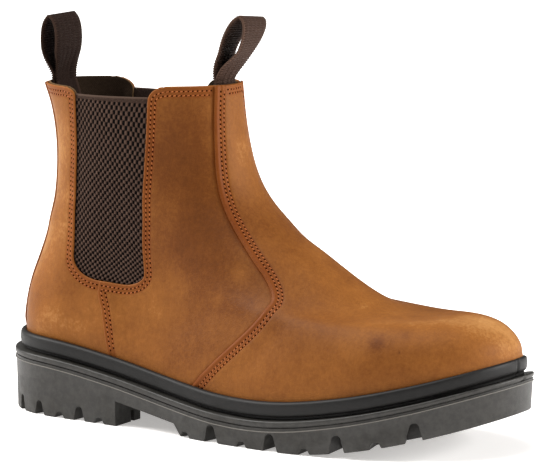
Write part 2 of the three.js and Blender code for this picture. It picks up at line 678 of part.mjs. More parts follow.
// Solid of webbing with a finger gap, from the outlines of both in (out, up).
function webbingSolid(loop, outline, gap) {
  const middleOut = -UPPER_WALL - FIT_GAP - WEBBING_THICKNESS;
  const section = [...outline, ...gap];
  const across = steps(4).map((t) => WEBBING_WIDTH * (t - 0.5));
  const points = across.flatMap((run) =>
    section.map(([out, up]) => webbingPoint(loop, run, middleOut + out, up)));
  const ends = [outline, gap].map((line, start) =>
    line.map((_, i) => start * outline.length + ((i + 1) % line.length))).flat();
  const corners = [];
  for (let row = 0; row < points.length - section.length; row += section.length) {
    const above = row + section.length;
    ends.forEach((end, i) => corners.push(...quad(row + i, row + end, above + end, above + i)));
  }
  const [rim, hole] = [outline, gap].map((line) => line.map(([out, up]) => new THREE.Vector2(out, up)));
  const far = points.length - section.length;
  THREE.ShapeUtils.triangulateShape(rim, [hole]).forEach(([a, b, c]) => {
    corners.push(a, c, b, a + far, b + far, c + far);
  });
  return solidFrom(points, corners);
}

function makeLoop(loop) {
  const thick = WEBBING_THICKNESS;
  const bothSides = (right) => [...right, ...right.slice().reverse().map(([out, up]) => [-out, up])];
  const bulge = teardrop(LOOP_WIDTH / 2, 0, LOOP_RISE).map(([out, up]) => [Math.max(out, thick), up]);
  const outline = bothSides([[thick, -LOOP_TAB], [thick, -LOOP_TAB / 2], ...bulge]);
  const gap = bothSides(teardrop(LOOP_WIDTH / 2 - thick, LOOP_NECK, LOOP_RISE - thick));
  return webbingSolid(loop, outline, gap.reverse());
}

// Finishes
const finish = (color, roughness) => new THREE.MeshStandardMaterial({ color, roughness, metalness: 0 });
const LEATHER = finish(0xa8692f, 0.55);
const RUBBER = finish(0x2b2c2e, 0.7);
const RAND_RUBBER = finish(0x34363a, 0.65);
const ELASTIC = finish(0x4a3a2c, 0.9);
const WEBBING = finish(0x4c3a28, 0.85);
const FOOTBED = finish(0x3d3a36, 0.9);

function part(name, geometry, material) {
  const mesh = new THREE.Mesh(geometry, material);
  mesh.name = name;
  return mesh;
}

const boot = new THREE.Group();
boot.name = "safety_boot";
boot.add(
  part("outsole", makeOutsole(), RUBBER),
  part("midsole", makeMidsole(), RAND_RUBBER),
  part("insole", makeInsole(), FOOTBED),
  part("upper", makeUpper(), LEATHER),
  part("gusset_lateral", makeGusset(-1), ELASTIC),
  part("gusset_medial", makeGusset(1), ELASTIC),
  part("pull_loop_front", makeLoop({ angle: 0, lean: FRONT_LOOP_LEAN, twist: FRONT_LOOP_TWIST }), WEBBING),
  part("pull_loop_back", makeLoop({ angle: Math.PI, lean: BACK_LOOP_LEAN, twist: BACK_LOOP_TWIST }), WEBBING),
);

const box = new THREE.Box3().setFromObject(boot);
const centre = box.getCenter(new THREE.Vector3());
boot.children.forEach((mesh) => {
  mesh.geometry.translate(-centre.x, -centre.y, -box.min.z);
  mesh.geometry.computeVertexNormals();
});

export default boot;
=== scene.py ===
"""A right-foot pull-on safety boot: waxed leather, elastic side gussets, webbing loops, lugged rubber sole.

The leather is shaped on a last that is given by a few tables, in millimetres, and every piece is placed
in the row frame, in metres, with its object at the origin.
"""
import logging
import math
from collections.abc import Callable, Sequence
from dataclasses import dataclass, field
from enum import Enum
from functools import cached_property

import bpy
import numpy as np
from mathutils import Matrix, Vector


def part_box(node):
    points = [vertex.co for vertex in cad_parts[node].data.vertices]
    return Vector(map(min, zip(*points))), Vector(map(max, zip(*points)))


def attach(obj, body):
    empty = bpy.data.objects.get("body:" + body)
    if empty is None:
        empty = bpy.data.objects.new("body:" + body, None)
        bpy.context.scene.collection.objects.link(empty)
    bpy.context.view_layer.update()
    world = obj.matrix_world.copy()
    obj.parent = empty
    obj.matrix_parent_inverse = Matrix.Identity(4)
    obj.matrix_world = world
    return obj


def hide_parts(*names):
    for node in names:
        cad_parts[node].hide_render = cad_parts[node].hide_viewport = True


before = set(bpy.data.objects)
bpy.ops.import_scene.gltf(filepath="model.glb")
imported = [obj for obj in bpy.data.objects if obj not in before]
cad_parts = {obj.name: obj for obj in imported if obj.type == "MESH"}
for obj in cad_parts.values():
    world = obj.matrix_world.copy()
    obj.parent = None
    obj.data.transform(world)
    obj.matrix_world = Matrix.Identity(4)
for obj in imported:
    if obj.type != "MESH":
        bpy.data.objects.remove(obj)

log = logging.getLogger("boot")
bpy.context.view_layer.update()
Array = np.ndarray


class Side(Enum):
    """The two sides of the right foot, by the sign of Y."""

    INNER = 1
    OUTER = -1


class Bead(Enum):
    """Shapes that are set in rows along a path."""

    OVAL = "oval"
    BAR = "bar"


# Curves and tables


def lerp(low: Array | float, high: Array | float, share: Array | float) -> Array | float:
    """Returns the value at a share of the way from low to high."""
    return low + (high - low) * share


def smooth(low: float, high: float, value: Array) -> Array:
    """Returns 0 below low, 1 above high and a soft step between."""
    t = np.clip((value - low) / (high - low), 0, 1)
    return t * t * (3 - 2 * t)


def bell(distance: Array, width: float) -> Array:
    """Returns a soft bump of height 1 that is gone at about twice its width."""
    return np.exp(-((distance / width) ** 2))


def curve(places: Array, values: Array, at: Array | float) -> Array:
    """Reads a smooth curve through a table's rows, straight beyond its ends.

    Args:
        places: Where the rows are, rising.
        values: One value a row, or one row of values for each place and reading.
        at: Where the curve is read.

    Returns:
        The curve's value at each reading.
    """
    at = np.asarray(at, float)
    x = np.asarray(places, float)
    y = np.asarray(values, float)
    if y.ndim == 1:
        y = np.broadcast_to(y.reshape((-1,) + (1,) * at.ndim), (len(x),) + at.shape)
    before = np.maximum(np.arange(len(x)) - 1, 0)
    after = np.minimum(np.arange(len(x)) + 1, len(x) - 1)
    run = (x[after] - x[before]).reshape((-1,) + (1,) * at.ndim)
    slope = (y[after] - y[before]) / run
    row = np.clip(np.searchsorted(x, at, side="left") - 1, 0, len(x) - 2)
    pick = lambda table, index: np.take_along_axis(table, index[None], 0)[0]
    low, high = pick(y, row), pick(y, row + 1)
    lean, next_lean = pick(slope, row), pick(slope, row + 1)
    span = x[row + 1] - x[row]
    t = (at - x[row]) / span
    bend = t * t * (3 - 2 * t)
    lift = lean * t * (1 - t) ** 2 - next_lean * t * t * (1 - t)
    inside = lerp(low, high, bend) + span * lift
    below = low + lean * span * t
    above = high + next_lean * span * (t - 1)
    return np.where(t < 0, below, np.where(t > 1, above, inside))


def corner(round_size: float, distance: Array) -> Array:
    """Returns how far a rounded corner stands back at a distance from its end."""
    left = round_size - np.clip(distance, 0, round_size)
    return round_size - np.sqrt(round_size**2 - left**2)


def unit(vectors: Array) -> Array:
    """Returns the vectors at length 1."""
    return vectors / np.maximum(np.linalg.norm(vectors, axis=-1, keepdims=True), 1e-12)


def nearest(points: Array, line: Array) -> Array:
    """Returns each point's distance to a line given by close points.

    Args:
        points: Places in millimetres.
        line: Close points of the line.

    Returns:
        The distances.
    """
    flat = points.reshape(-1, 3)
    out = np.empty(len(flat))
    for start in range(0, len(flat), 4000):
        block = flat[start : start + 4000]
        out[start : start + 4000] = np.sqrt(((block[:, None] - line[None]) ** 2).sum(2).min(1))
    return out.reshape(points.shape[:-1])


# The last


@dataclass(frozen=True)
class Last:
    """The form under the leather. Places on it are s, from the sole (0) to the collar (1), and an angle
    round it, 0 at the front, positive on the inner side and half a turn at the back."""

    sole_length: float = 296.0
    ball_width: float = 108.0
    heel_height: float = 41.7
    collar_back: float = 172.0
    collar_front: float = 176.6
    rand_overhang: float = 3.3
    ledge_width: float = 2.6
    stations: tuple[float, ...] = (0.12, 0.35, 0.66, 0.9)

    PLAN_AT = (0.0, 0.12, 0.35, 0.5, 0.64, 0.76, 0.88, 1.0)
    PLAN_HALF = (0.38, 0.378, 0.385, 0.445, 0.495, 0.493, 0.465, 0.43)
    PLAN_CENTRE = (0.0, 0.0, -0.035, -0.055, -0.045, -0.02, 0.015, 0.05)
    FEATHER_AT = (0.0, 0.12, 0.25, 0.4, 0.52, 0.63, 0.75, 0.87, 1.0)
    FEATHER = (1.0, 0.975, 0.86, 0.685, 0.595, 0.605, 0.72, 0.905, 1.16)
    RING_AT = (0.0, 0.08, 0.17, 0.27, 0.37, 0.46, 0.55, 0.64, 0.73, 0.82, 0.91, 1.0)
    RINGS = {
        "back": (0.0, 0.002, 0.01, 0.025, 0.04, 0.051, 0.06, 0.065, 0.066, 0.062, 0.053, 0.039),
        "back_rise": (0.0, 0.079, 0.172, 0.272, 0.372, 0.465, 0.557, 0.648, 0.74, 0.828, 0.916, 1.0),
        "front": (1.0, 0.995, 0.976, 0.934, 0.864, 0.772, 0.683, 0.588, 0.504, 0.46, 0.437, 0.426),
        "front_rise": (0.0, 0.061, 0.123, 0.182, 0.215, 0.233, 0.345, 0.463, 0.57, 0.696, 0.845, 1.0),
        "sag": (1.0, 0.9, 0.8, 0.65, 0.5, 0.35, 0.25, 0.15, 0.1, 0.05, 0.0, 0.0),
        "heel_reach": (0.14, 0.14, 0.14, 0.14, 0.14, 0.145, 0.15, 0.16, 0.17, 0.18, 0.185, 0.185),
        "reach": (0.25, 0.26, 0.28, 0.32, 0.37, 0.4, 0.4, 0.35, 0.29, 0.24, 0.215, 0.2),
        "power": (2.3, 2.3, 2.35, 2.4, 2.35, 2.3, 2.25, 2.2, 2.15, 2.1, 2.05, 2.0),
        "heel": (0.95, 1.0, 1.0, 0.96, 0.92, 0.89, 0.875, 0.87, 0.87, 0.875, 0.88, 0.885),
        "waist": (1.0, 0.98, 0.92, 0.86, 0.83, 0.83, 0.83, 0.84, 0.845, 0.85, 0.85, 0.85),
        "ball": (1.0, 1.0, 0.96, 0.9, 0.85, 0.81, 0.78, 0.76, 0.76, 0.76, 0.76, 0.76),
        "toe": (1.0, 1.0, 0.98, 0.93, 0.85, 0.8, 0.8, 0.8, 0.8, 0.8, 0.8, 0.8),
        "crest": (0.0, 0.0, 0.0, 0.01, 0.02, 0.03, 0.03, 0.03, 0.03, 0.03, 0.03, 0.03),
    }

    @cached_property
    def levels(self) -> Array:
        """Returns the close levels at which the rings are kept."""
        return np.linspace(-0.1, 1.1, 1201)

    @cached_property
    def rings(self) -> dict[str, Array]:
        """Returns each ring value at the close levels, softened between the tables' rows.

        Returns:
            The values at each level, by name.
        """
        reach = 0.055 * smooth(0.0, 0.14, self.levels) * smooth(0.0, 0.14, 1 - self.levels)
        spread = (-1.0, -0.5, 0.0, 0.5, 1.0)
        read = lambda values, k: curve(self.RING_AT, values, self.levels + k * reach)
        return {name: sum(read(values, k) for k in spread) / 5 for name, values in self.RINGS.items()}

    @property
    def length(self) -> float:
        """Returns the last's length, inside the rand and the ledge."""
        return self.sole_length - 2 * (self.rand_overhang + self.ledge_width)

    @property
    def width(self) -> float:
        """Returns the last's width at the ball."""
        return self.ball_width - 2 * (self.rand_overhang + self.ledge_width)

    def feather(self, at: Array) -> Array:
        """Returns the height where the upper leaves the sole, at shares of the length."""
        return self.heel_height * curve(self.FEATHER_AT, self.FEATHER, at)

    def half_width(self, at: Array) -> Array:
        """Returns half the plan's width at shares of the length."""
        return self.width * curve(self.PLAN_AT, self.PLAN_HALF, at)

    def centre(self, at: Array) -> Array:
        """Returns the plan's centre at shares of the length."""
        return self.width * curve(self.PLAN_AT, self.PLAN_CENTRE, at)

    def share(self, x: Array) -> Array:
        """Returns the share of the length at a place along X."""
        return (x + self.length / 2) / self.length

    def place(self, at: Array) -> Array:
        """Returns the place along X at a share of the length."""
        return at * self.length - self.length / 2

    def point(self, s: Array, angle: Array) -> Array:
        """Finds points of the general surface.

        Args:
            s: Shares of the height.
            angle: Angles round the last.

        Returns:
            The points, in millimetres.
        """
        s, angle = np.broadcast_arrays(np.asarray(s, float), np.asarray(angle, float))
        ring = {name: np.interp(s, self.levels, values) for name, values in self.rings.items()}
        t = (1 + np.cos(angle)) / 2
        at = lerp(ring["back"], ring["front"], t)
        rounded = lambda share, power: (1 - (1 - np.clip(share, 0, 1)) ** power) ** (1 / power)
        heel_end = rounded((at - ring["back"]) / ring["heel_reach"], 2.15)
        toe_end = rounded((ring["front"] - at) / ring["reach"], ring["power"])
        widths = np.stack([ring[name] for name in ("heel", "waist", "ball", "toe")])
        widening = curve(self.stations, widths, np.clip(at, self.stations[0], self.stations[-1]))
        half = self.half_width(at) * widening * heel_end * toe_end
        crook = np.clip(1 - s, 0, 1)
        middle = self.centre(at) * crook + self.width * ring["crest"] * t * t
        back_height = lerp(self.feather(ring["back"]), self.collar_back, ring["back_rise"])
        front_height = lerp(self.feather(ring["front"]), self.collar_front, ring["front_rise"])
        chord = lerp(self.feather(ring["back"]), self.feather(ring["front"]), t)
        eased = lerp(t, t * t * (3 - 2 * t), np.clip((s - 0.8) / 0.2, 0, 1))
        height = lerp(back_height, front_height, eased) + ring["sag"] * (self.feather(at) - chord)
        return np.stack([self.place(at), middle + np.sign(np.sin(angle)) * half, height], -1)

    def tangents(self, s: Array, angle: Array) -> tuple[Array, Array]:
        """Returns how a point moves for a unit of s and for a radian round.

        Args:
            s: Shares of the shaft's height.
            angle: Angles round the last.

        Returns:
            Both directions, in millimetres.
        """
        up = (self.point(s + 0.004, angle) - self.point(s - 0.004, angle)) / 0.008
        around = (self.point(s, angle + 0.02) - self.point(s, angle - 0.02)) / 0.04
        return up, around

    def normal(self, s: Array, angle: Array) -> Array:
        """Returns the outward normals."""
        up, around = self.tangents(s, angle)
        return unit(np.cross(around, up))

    def skin(self, s: Array, angle: Array, out: Array | float = 0.0) -> Array:
        """Returns points that stand out from the general surface.

        Args:
            s: Shares of the shaft's height.
            angle: Angles round the last.
            out: Distances beyond the surface.

        Returns:
            The points.
        """
        s, angle = np.broadcast_arrays(np.asarray(s, float), np.asarray(angle, float))
        lift = np.broadcast_to(np.asarray(out, float), s.shape)
        return self.point(s, angle) + self.normal(s, angle) * lift[..., None]


LAST = Last()
COLLAR = LAST.point(1.0, np.linspace(0, 2 * math.pi, 721))


class Girth:
    """Runs in millimetres round the last from its front, on one side, and back to angles."""

    LEVELS = np.linspace(-0.06, 1.08, 229)
    ANGLES = np.linspace(0, math.pi, 541)
    SHARES = np.linspace(0, 1, 801)

    def __init__(self, side: Side) -> None:
        """Measures the side's rings.

        Args:
            side: The side of the boot.
        """
        self.sign = side.value
        points = LAST.point(self.LEVELS[:, None], self.ANGLES[None] * self.sign)
        steps = np.linalg.norm(np.diff(points, axis=1), axis=2)
        self.runs = np.concatenate([np.zeros((len(self.LEVELS), 1)), np.cumsum(steps, 1)], 1)
        self.totals = self.runs[:, -1]
        self.back = np.array([np.interp(self.SHARES * row[-1], row, self.ANGLES) for row in self.runs])

    def _between(self, table: Array, s: Array, column: Array) -> Array:
        """Reads a table between its levels and columns.

        Args:
            table: Values at each level and column.
            s: Shares of the shaft's height.
            column: Places between the table's columns.

        Returns:
            The values.
        """
        step = self.LEVELS[1] - self.LEVELS[0]
        level = np.clip((s - self.LEVELS[0]) / step, 0, len(self.LEVELS) - 1.001)
        column = np.clip(column, 0, table.shape[1] - 1.001)
        i, j = level.astype(int), column.astype(int)
        a, b = level - i, column - j
        low = lerp(table[i, j], table[i, j + 1], b)
        high = lerp(table[i + 1, j], table[i + 1, j + 1], b)
        return lerp(low, high, a)

    def run(self, s: Array, angle: Array) -> Array:
        """Returns the run from the front to an angle."""
        s, angle = np.broadcast_arrays(np.asarray(s, float), np.asarray(angle, float))
        return self._between(self.runs, s, np.abs(angle) / math.pi * (len(self.ANGLES) - 1))

    def total(self, s: Array) -> Array:
        """Returns the run from the front to the back."""
        return np.interp(s, self.LEVELS, self.totals)

    def angle(self, s: Array, run: Array) -> Array:
        """Returns the angle, with the side's sign, at a run from the front.

        Args:
            s: Shares of the shaft's height.
            run: Runs over the leather from the front.

        Returns:
            The angles.
        """
        s, run = np.broadcast_arrays(np.asarray(s, float), np.asarray(run, float))
        share = run / self.total(s)
        found = self._between(self.back, s, share * (len(self.SHARES) - 1))
        return self.sign * found


GIRTH = {side: Girth(side) for side in Side}


@dataclass(frozen=True)
class SeamLine:
    """A line on the upper, as shares of the half turn from the front (0) to the back (1)."""

    levels: tuple[float, ...]
    turns: tuple[float, ...]

    def run(self, side: Side, s: Array) -> Array:
        """Returns the line's run from the front."""
        return GIRTH[side].run(s, math.pi * curve(self.levels, self.turns, s))

    def points(self, side: Side, low: float, high: float, count: int = 400) -> Array:
        """Returns close points of the line between two heights."""
        s = np.linspace(low, high, count)
        return LAST.point(s, side.value * math.pi * curve(self.levels, self.turns, s))


VAMP_LINE = SeamLine(
    (0.0, 0.06, 0.15, 0.26, 0.39, 0.48, 0.53, 0.6, 0.68, 0.76, 0.83, 0.9, 1.0),
    (0.538, 0.521, 0.492, 0.448, 0.386, 0.328, 0.305, 0.287, 0.252, 0.214, 0.184, 0.157, 0.128),
)
REAR_LINE = SeamLine(
    (0.0, 0.08, 0.17, 0.25, 0.4, 0.6, 0.8, 1.0), (0.672, 0.677, 0.686, 0.696, 0.68, 0.64, 0.563, 0.505)
)
GUSSET_LINE = SeamLine(
    (0.3, 0.45, 0.55, 0.66, 0.78, 0.89, 1.0), (0.685, 0.671, 0.654, 0.619, 0.571, 0.535, 0.505)
)


@dataclass(frozen=True)
class GussetCut:
    """The opening for the elastic, laid out flat: x is the run back from its middle line, y the height."""

    width: float = 44.0
    foot_front: float = 0.302
    foot_back: float = 0.272
    front_round: float = 13.0
    back_round: float = 18.0
    top_round_drop: float = 5.0
    top_round_run: float = 8.0
    rise: float = 173.13

    def foot(self, x: Array, grow: float = 0.0) -> Array:
        """Returns the foot's height across the opening, grown by a margin.

        Args:
            x: Flat places across the opening.
            grow: The margin round the opening.

        Returns:
            The heights.
        """
        half = self.width / 2 + grow
        u = np.clip((x + half) / (2 * half), 0, 1)
        line = lerp(self.foot_front, self.foot_back, u) * self.rise - grow
        front = corner(self.front_round + grow, x + half)
        return line + front + corner(self.back_round + grow, half - x)

    def outline(self, grow: float = 0.0, top: float = 1.0) -> Array:
        """Walks round the opening.

        Args:
            grow: Margin beyond the opening.
            top: Share of the upper's height where the outline ends.

        Returns:
            Points from the front edge's top down, across the foot and up the rear edge.
        """
        half = self.width / 2 + grow
        turn = np.linspace(0, math.pi, 91)
        x = -half * np.cos(turn)
        foot = np.stack([x, self.foot(x, grow)], 1)
        edges = []
        for end, sign in ((foot[0], -1), (foot[-1], 1)):
            y = np.linspace(end[1], top * self.rise, 90)
            opening = corner(self.top_round_drop, self.rise - y) / self.top_round_drop
            spread = self.top_round_run * np.where(y > self.rise - self.top_round_drop, opening, 0)
            edges.append(np.stack([sign * (half + spread), y], 1))
        return np.concatenate([edges[0][::-1], foot[1:-1], edges[1]])

    def beyond(self, x: Array, y: Array, grow: float = 0.0) -> Array:
        """Returns distances from the opening's edge, positive on the leather.

        Args:
            x: Flat places across the opening.
            y: Flat heights.
            grow: The margin round the opening.

        Returns:
            The distances.
        """
        line = self.outline(grow, 1.06)
        start, end = line[:-1], line[1:]
        way = end - start
        shape = x.shape
        spots = np.stack([x.ravel(), y.ravel()], 1)
        best = np.full(len(spots), 1e9)
        for a, w in zip(start, way):
            t = np.clip(((spots - a) @ w) / max(w @ w, 1e-9), 0, 1)
            gap = spots - a - t[:, None] * w
            best = np.minimum(best, (gap**2).sum(1))
        half = self.width / 2 + grow
        y_flat = spots[:, 1]
        opening = corner(self.top_round_drop, self.rise - y_flat) / self.top_round_drop
        spread = self.top_round_run * np.where(y_flat > self.rise - self.top_round_drop, opening, 0)
        wide = np.abs(spots[:, 0]) < half + spread
        above = y_flat > self.foot(spots[:, 0], grow)
        sign = np.where(wide & above, -1.0, 1.0)
        return (np.sqrt(best) * sign).reshape(shape)

    def flat(self, side: Side, s: Array, angle: Array) -> tuple[Array, Array]:
        """Returns the flat place of points on the last."""
        return GIRTH[side].run(s, angle) - GUSSET_LINE.run(side, s), s * self.rise

    def on_last(self, side: Side, x: Array, y: Array) -> tuple[Array, Array]:
        """Returns s and angle of flat places."""
        s = y / self.rise
        return s, GIRTH[side].angle(s, GUSSET_LINE.run(side, s) + x)


CUT = GussetCut()
CUTS = {Side.OUTER: CUT, Side.INNER: GussetCut(top_round_drop=8.5, top_round_run=13.0)}


# Meshes


def to_row(points: Array) -> Array:
    """Returns points in the row frame, in metres."""
    return (np.asarray(points, float) + SHIFT) * 0.001


def row_shift() -> Array:
    """Returns the way from the last's own frame to the row frame, from the outsole's box.

    Returns:
        The shift in millimetres.
    """
    low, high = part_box("outsole")
    edge = SOLE_PROFILE.edge_box()
    middle = (np.array(low)[:2] + np.array(high)[:2]) * 500
    return np.array([middle[0] - edge[0], middle[1] - edge[1], 0.0])


def add_piece(
    name: str,
    points: Array,
    faces: Sequence[Sequence[int]],
    material: bpy.types.Material,
    marks: dict[str, Array] | None = None,
    sharp: float = 50.0,
) -> bpy.types.Object:
    """Makes a mesh object with its place in its mesh.

    Args:
        name: The piece's name.
        points: Its points, in millimetres, in the last's frame.
        faces: Its faces, as point numbers.
        material: Its material.
        marks: Values for each point, kept as attributes.
        sharp: Angle in degrees above which an edge stays sharp.

    Returns:
        The new object.
    """
    mesh = bpy.data.meshes.new(name)
    mesh.from_pydata(to_row(points).tolist(), [], [list(map(int, face)) for face in faces])
    for mark, values in (marks or {}).items():
        attribute = mesh.attributes.new(mark, "FLOAT", "POINT")
        attribute.data.foreach_set("value", np.asarray(values, np.float32))
    mesh.validate()
    mesh.shade_smooth()
    mesh.set_sharp_from_angle(angle=math.radians(sharp))
    mesh.materials.append(material)
    piece = bpy.data.objects.new(name, mesh)
    bpy.context.scene.collection.objects.link(piece)
    log.info("%s: %d points, %d faces", name, len(mesh.vertices), len(mesh.polygons))
    return piece


def settle(piece: bpy.types.Object, slot: str, *nodes: str) -> bpy.types.Object:
    """Lets a finished piece ride on the boot and take the place of solids.

    Args:
        piece: The piece.
        slot: A material slot's name; not used.
        nodes: The solids it stands for.

    Returns:
        The piece.
    """
    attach(piece, "root")
    if nodes:
        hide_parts(*nodes)
    return piece


@dataclass
class Sheet:
    """A sheet on the last while it is being made: its places, faces and edges."""

    s: Array
    angle: Array
    faces: list[list[int]]

    @classmethod
    def grid(cls, s: Array, angle: Array, closed: bool = False) -> "Sheet":
        """Makes a sheet from a grid of places.

        Args:
            s: Shares of the height, by row and column.
            angle: Angles, by row and column.
            closed: Whether the last column meets the first.

        Returns:
            The sheet, with its faces turned out.
        """
        rows, columns = s.shape
        ids = np.arange(rows * columns).reshape(rows, columns)
        if closed:
            ids = np.concatenate([ids, ids[:, :1]], 1)
        faces = np.stack([ids[:-1, :-1], ids[:-1, 1:], ids[1:, 1:], ids[1:, :-1]], -1).reshape(-1, 4)
        middle = angle[rows // 2]
        if middle[-1] < middle[0]:
            faces = faces[:, ::-1]
        return cls(s.ravel().copy(), angle.ravel().copy(), faces.tolist())

    def cut(self, keep: Array) -> "Sheet":
        """Cuts the sheet along the line where keep is zero.

        Args:
            keep: A value for each point, positive where the sheet stays.

        Returns:
            The sheet that stays.
        """
        s, angle = list(self.s), list(self.angle)
        made: dict[tuple[int, int], int] = {}

        def crossing(a: int, b: int) -> int:
            """Returns the point where an edge is cut.

            Args:
                a: The edge's first point.
                b: The edge's second point.

            Returns:
                The point's number.
            """
            key = (min(a, b), max(a, b))
            if key not in made:
                t = keep[a] / (keep[a] - keep[b])
                made[key] = len(s)
                s.append(lerp(self.s[a], self.s[b], t))
                angle.append(lerp(self.angle[a], self.angle[b], t))
            return made[key]

        inside = keep > 0
        faces = []
        for face in self.faces:
            flags = [inside[i] for i in face]
            if all(flags):
                faces.append(face)
            elif any(flags):
                loop = []
                for i, a in enumerate(face):
                    b = face[(i + 1) % len(face)]
                    if inside[a]:
                        loop.append(a)
                    if inside[a] != inside[b]:
                        loop.append(crossing(a, b))
                faces.append(loop)
        used = sorted({i for face in faces for i in face})
        new = {old: i for i, old in enumerate(used)}
        return Sheet(
            np.array(s)[used], np.array(angle)[used], [[new[i] for i in face] for face in faces]
        )

    def rim(self) -> list[tuple[int, int]]:
        """Returns the sheet's open edges, in the order of their faces.

        Returns:
            The edges, each from point to point.
        """
        seen: dict[tuple[int, int], int] = {}
        for face in self.faces:
            for i, a in enumerate(face):
                seen[(a, face[(i + 1) % len(face)])] = 1
        return [edge for edge in seen if (edge[1], edge[0]) not in seen]

    def thicken(
        self, outer: Array, normals: Array, thickness: float, rounds: int = 4,
    ) -> tuple[Array, list, Array]:
        """Gives the sheet a wall with round edges.

        Args:
            outer: The outer face's points.
            normals: Outward normals at these points.
            thickness: The wall's thickness.
            rounds: Steps round an edge.

        Returns:
            All points, all faces, and for each point how near it is to the edge's crown.
        """
        count = len(outer)
        edges = self.rim()
        radius = thickness / 2
        way = np.zeros_like(outer)
        for a, b in edges:
            side = np.cross(outer[b] - outer[a], normals[a])
            way[a] += side
            way[b] += side
        rim_ids = sorted({i for edge in edges for i in edge})
        spot = {old: i for i, old in enumerate(rim_ids)}
        away = unit(way[rim_ids])
        up = normals[rim_ids]
        base = outer[rim_ids]
        blocks = [outer, outer - normals * thickness]
        crown = [np.zeros(count), np.zeros(count)]
        for k in range(1, rounds):
            turn = math.pi * k / rounds
            blocks.append(base + away * radius * math.sin(turn) - up * radius * (1 - math.cos(turn)))
            crown.append(np.full(len(rim_ids), math.sin(turn)))
        faces = list(self.faces) + [[i + count for i in reversed(face)] for face in self.faces]

        def level(k: int, i: int) -> int:
            """Returns the point of edge place i at step k.

            Args:
                k: The step round the edge.
                i: The place along the edge.

            Returns:
                The point's number.
            """
            if k == 0:
                return i
            if k == rounds:
                return i + count
            return 2 * count + (k - 1) * len(rim_ids) + spot[i]

        for a, b in edges:
            for k in range(rounds):
                faces.append([level(k, b), level(k, a), level(k + 1, a), level(k + 1, b)])
        crown[0][rim_ids] = 0.5
        return np.concatenate(blocks), faces, np.concatenate(crown)


# The upper


@dataclass(frozen=True)
class Crease:
    """A soft trough in the leather, from one place on the last to another."""

    start: tuple[float, float]
    end: tuple[float, float]
    width: float
    depth: float
    bow: float = 0.0

    def dent(self, points: Array) -> Array:
        """Returns how deep the trough is at points.

        Args:
            points: Places in millimetres.

        Returns:
            The depths.
        """
        t = np.linspace(0, 1, 40)
        s = lerp(self.start[0], self.end[0], t) + self.bow * np.sin(math.pi * t)
        angle = math.pi * lerp(self.start[1], self.end[1], t)
        line = LAST.point(s, angle)
        gap = points.reshape(-1, 3)[:, None] - line[None]
        strength = np.sin(math.pi * np.clip(t, 0.02, 0.98)) ** 0.7
        near = np.exp(-(gap**2).sum(2) / self.width**2) * strength
        return -self.depth * near.max(1).reshape(points.shape[:-1])


@dataclass(frozen=True)
class Patch:
    """A soft patch of tone on the leather, partly wax and wear and partly painted light: above 0 lighter,
    as rubbing and painted highlight, below 0 darker, as wax and painted shade.
    """

    place: tuple[float, float]
    size: float
    tone: float
    tall: float = 1.0

    def shade(self, points: Array) -> Array:
        """Returns the patch's tone at points.

        Args:
            points: Places in millimetres.

        Returns:
            The tones.
        """
        middle = LAST.point(self.place[0], math.pi * self.place[1])
        gap = points - middle
        gap = gap * np.array([1.0, 1.0, 1.0 / self.tall])
        return self.tone * np.exp(-(gap**2).sum(-1) / self.size**2)


CREASES = (
    Crease((0.42, -0.04), (0.3, -0.3), 9.0, 0.25, -0.02),
    Crease((0.42, 0.04), (0.3, 0.32), 9.0, 0.25, -0.02),
    Crease((0.62, 0.0), (0.55, -0.27), 9.0, 0.35, 0.02),
    Crease((0.66, 0.0), (0.6, 0.27), 9.0, 0.6, 0.02),
    Crease((0.72, -0.04), (0.62, -0.42), 8.0, 0.22, -0.02),
    Crease((0.52, -0.4), (0.4, -0.58), 10.0, 0.12, 0.02),
    Crease((0.3, -0.5), (0.16, -0.6), 8.0, 0.4, 0.0),
    Crease((0.46, -0.78), (0.4, -0.97), 7.0, 0.5, -0.02),
    Crease((0.38, -0.8), (0.3, -0.93), 8.0, 0.45, 0.01),
    Crease((0.56, -0.82), (0.52, -0.98), 8.0, 0.45, -0.01),
    Crease((0.46, 0.78), (0.4, 0.97), 7.0, 0.5, -0.02),
    Crease((0.56, 0.82), (0.5, 0.98), 8.0, 0.45, -0.01),
    Crease((0.72, 0.04), (0.6, 0.42), 8.0, 0.5, -0.02),
    Crease((0.5, 0.36), (0.36, 0.56), 9.0, 0.5, 0.02),
)

# Tone patches: some are wax and wear, and many paint light and shade, lighter on the toe's top, the instep,
# the shaft's front and the back, darker on the quarters.
TONE_AND_LIGHT_PATCHES = (
    Patch((0.62, -0.38), 30.0, -0.42, 1.6),
    Patch((0.86, -0.3), 22.0, -0.4, 1.4),
    Patch((0.4, -0.42), 20.0, -0.1),
    Patch((0.26, -0.6), 22.0, 0.3),
    Patch((0.2, -0.76), 11.0, -0.25, 1.2),
    Patch((0.34, -0.9), 16.0, 0.25, 1.4),
    Patch((0.14, -0.84), 9.0, -0.3),
    Patch((0.22, -0.26), 4.0, -0.5),
    Patch((0.26, -0.2), 3.0, -0.2),
    Patch((0.5, -0.5), 9.0, -0.2),
    Patch((0.72, -0.86), 24.0, 0.45, 2.0),
    Patch((0.12, -0.78), 24.0, 0.42),
    Patch((0.86, -0.04), 20.0, 0.45, 2.0),
    Patch((0.5, -0.06), 24.0, 0.35, 1.6),
    Patch((0.26, 0.0), 24.0, 0.6),
    Patch((0.34, -0.12), 14.0, 0.3),
    Patch((0.53, -0.37), 4.0, 0.3),
    Patch((0.37, -0.48), 4.0, 0.2),
    Patch((0.62, 0.4), 30.0, -0.35, 1.6),
    Patch((0.35, 0.36), 24.0, -0.35),
    Patch((0.3, 0.78), 16.0, -0.4),
    Patch((0.12, 0.55), 18.0, 0.3),
    Patch((0.72, 0.86), 24.0, 0.4, 2.0),
    Patch((0.3, 1.0), 16.0, -0.25),
)


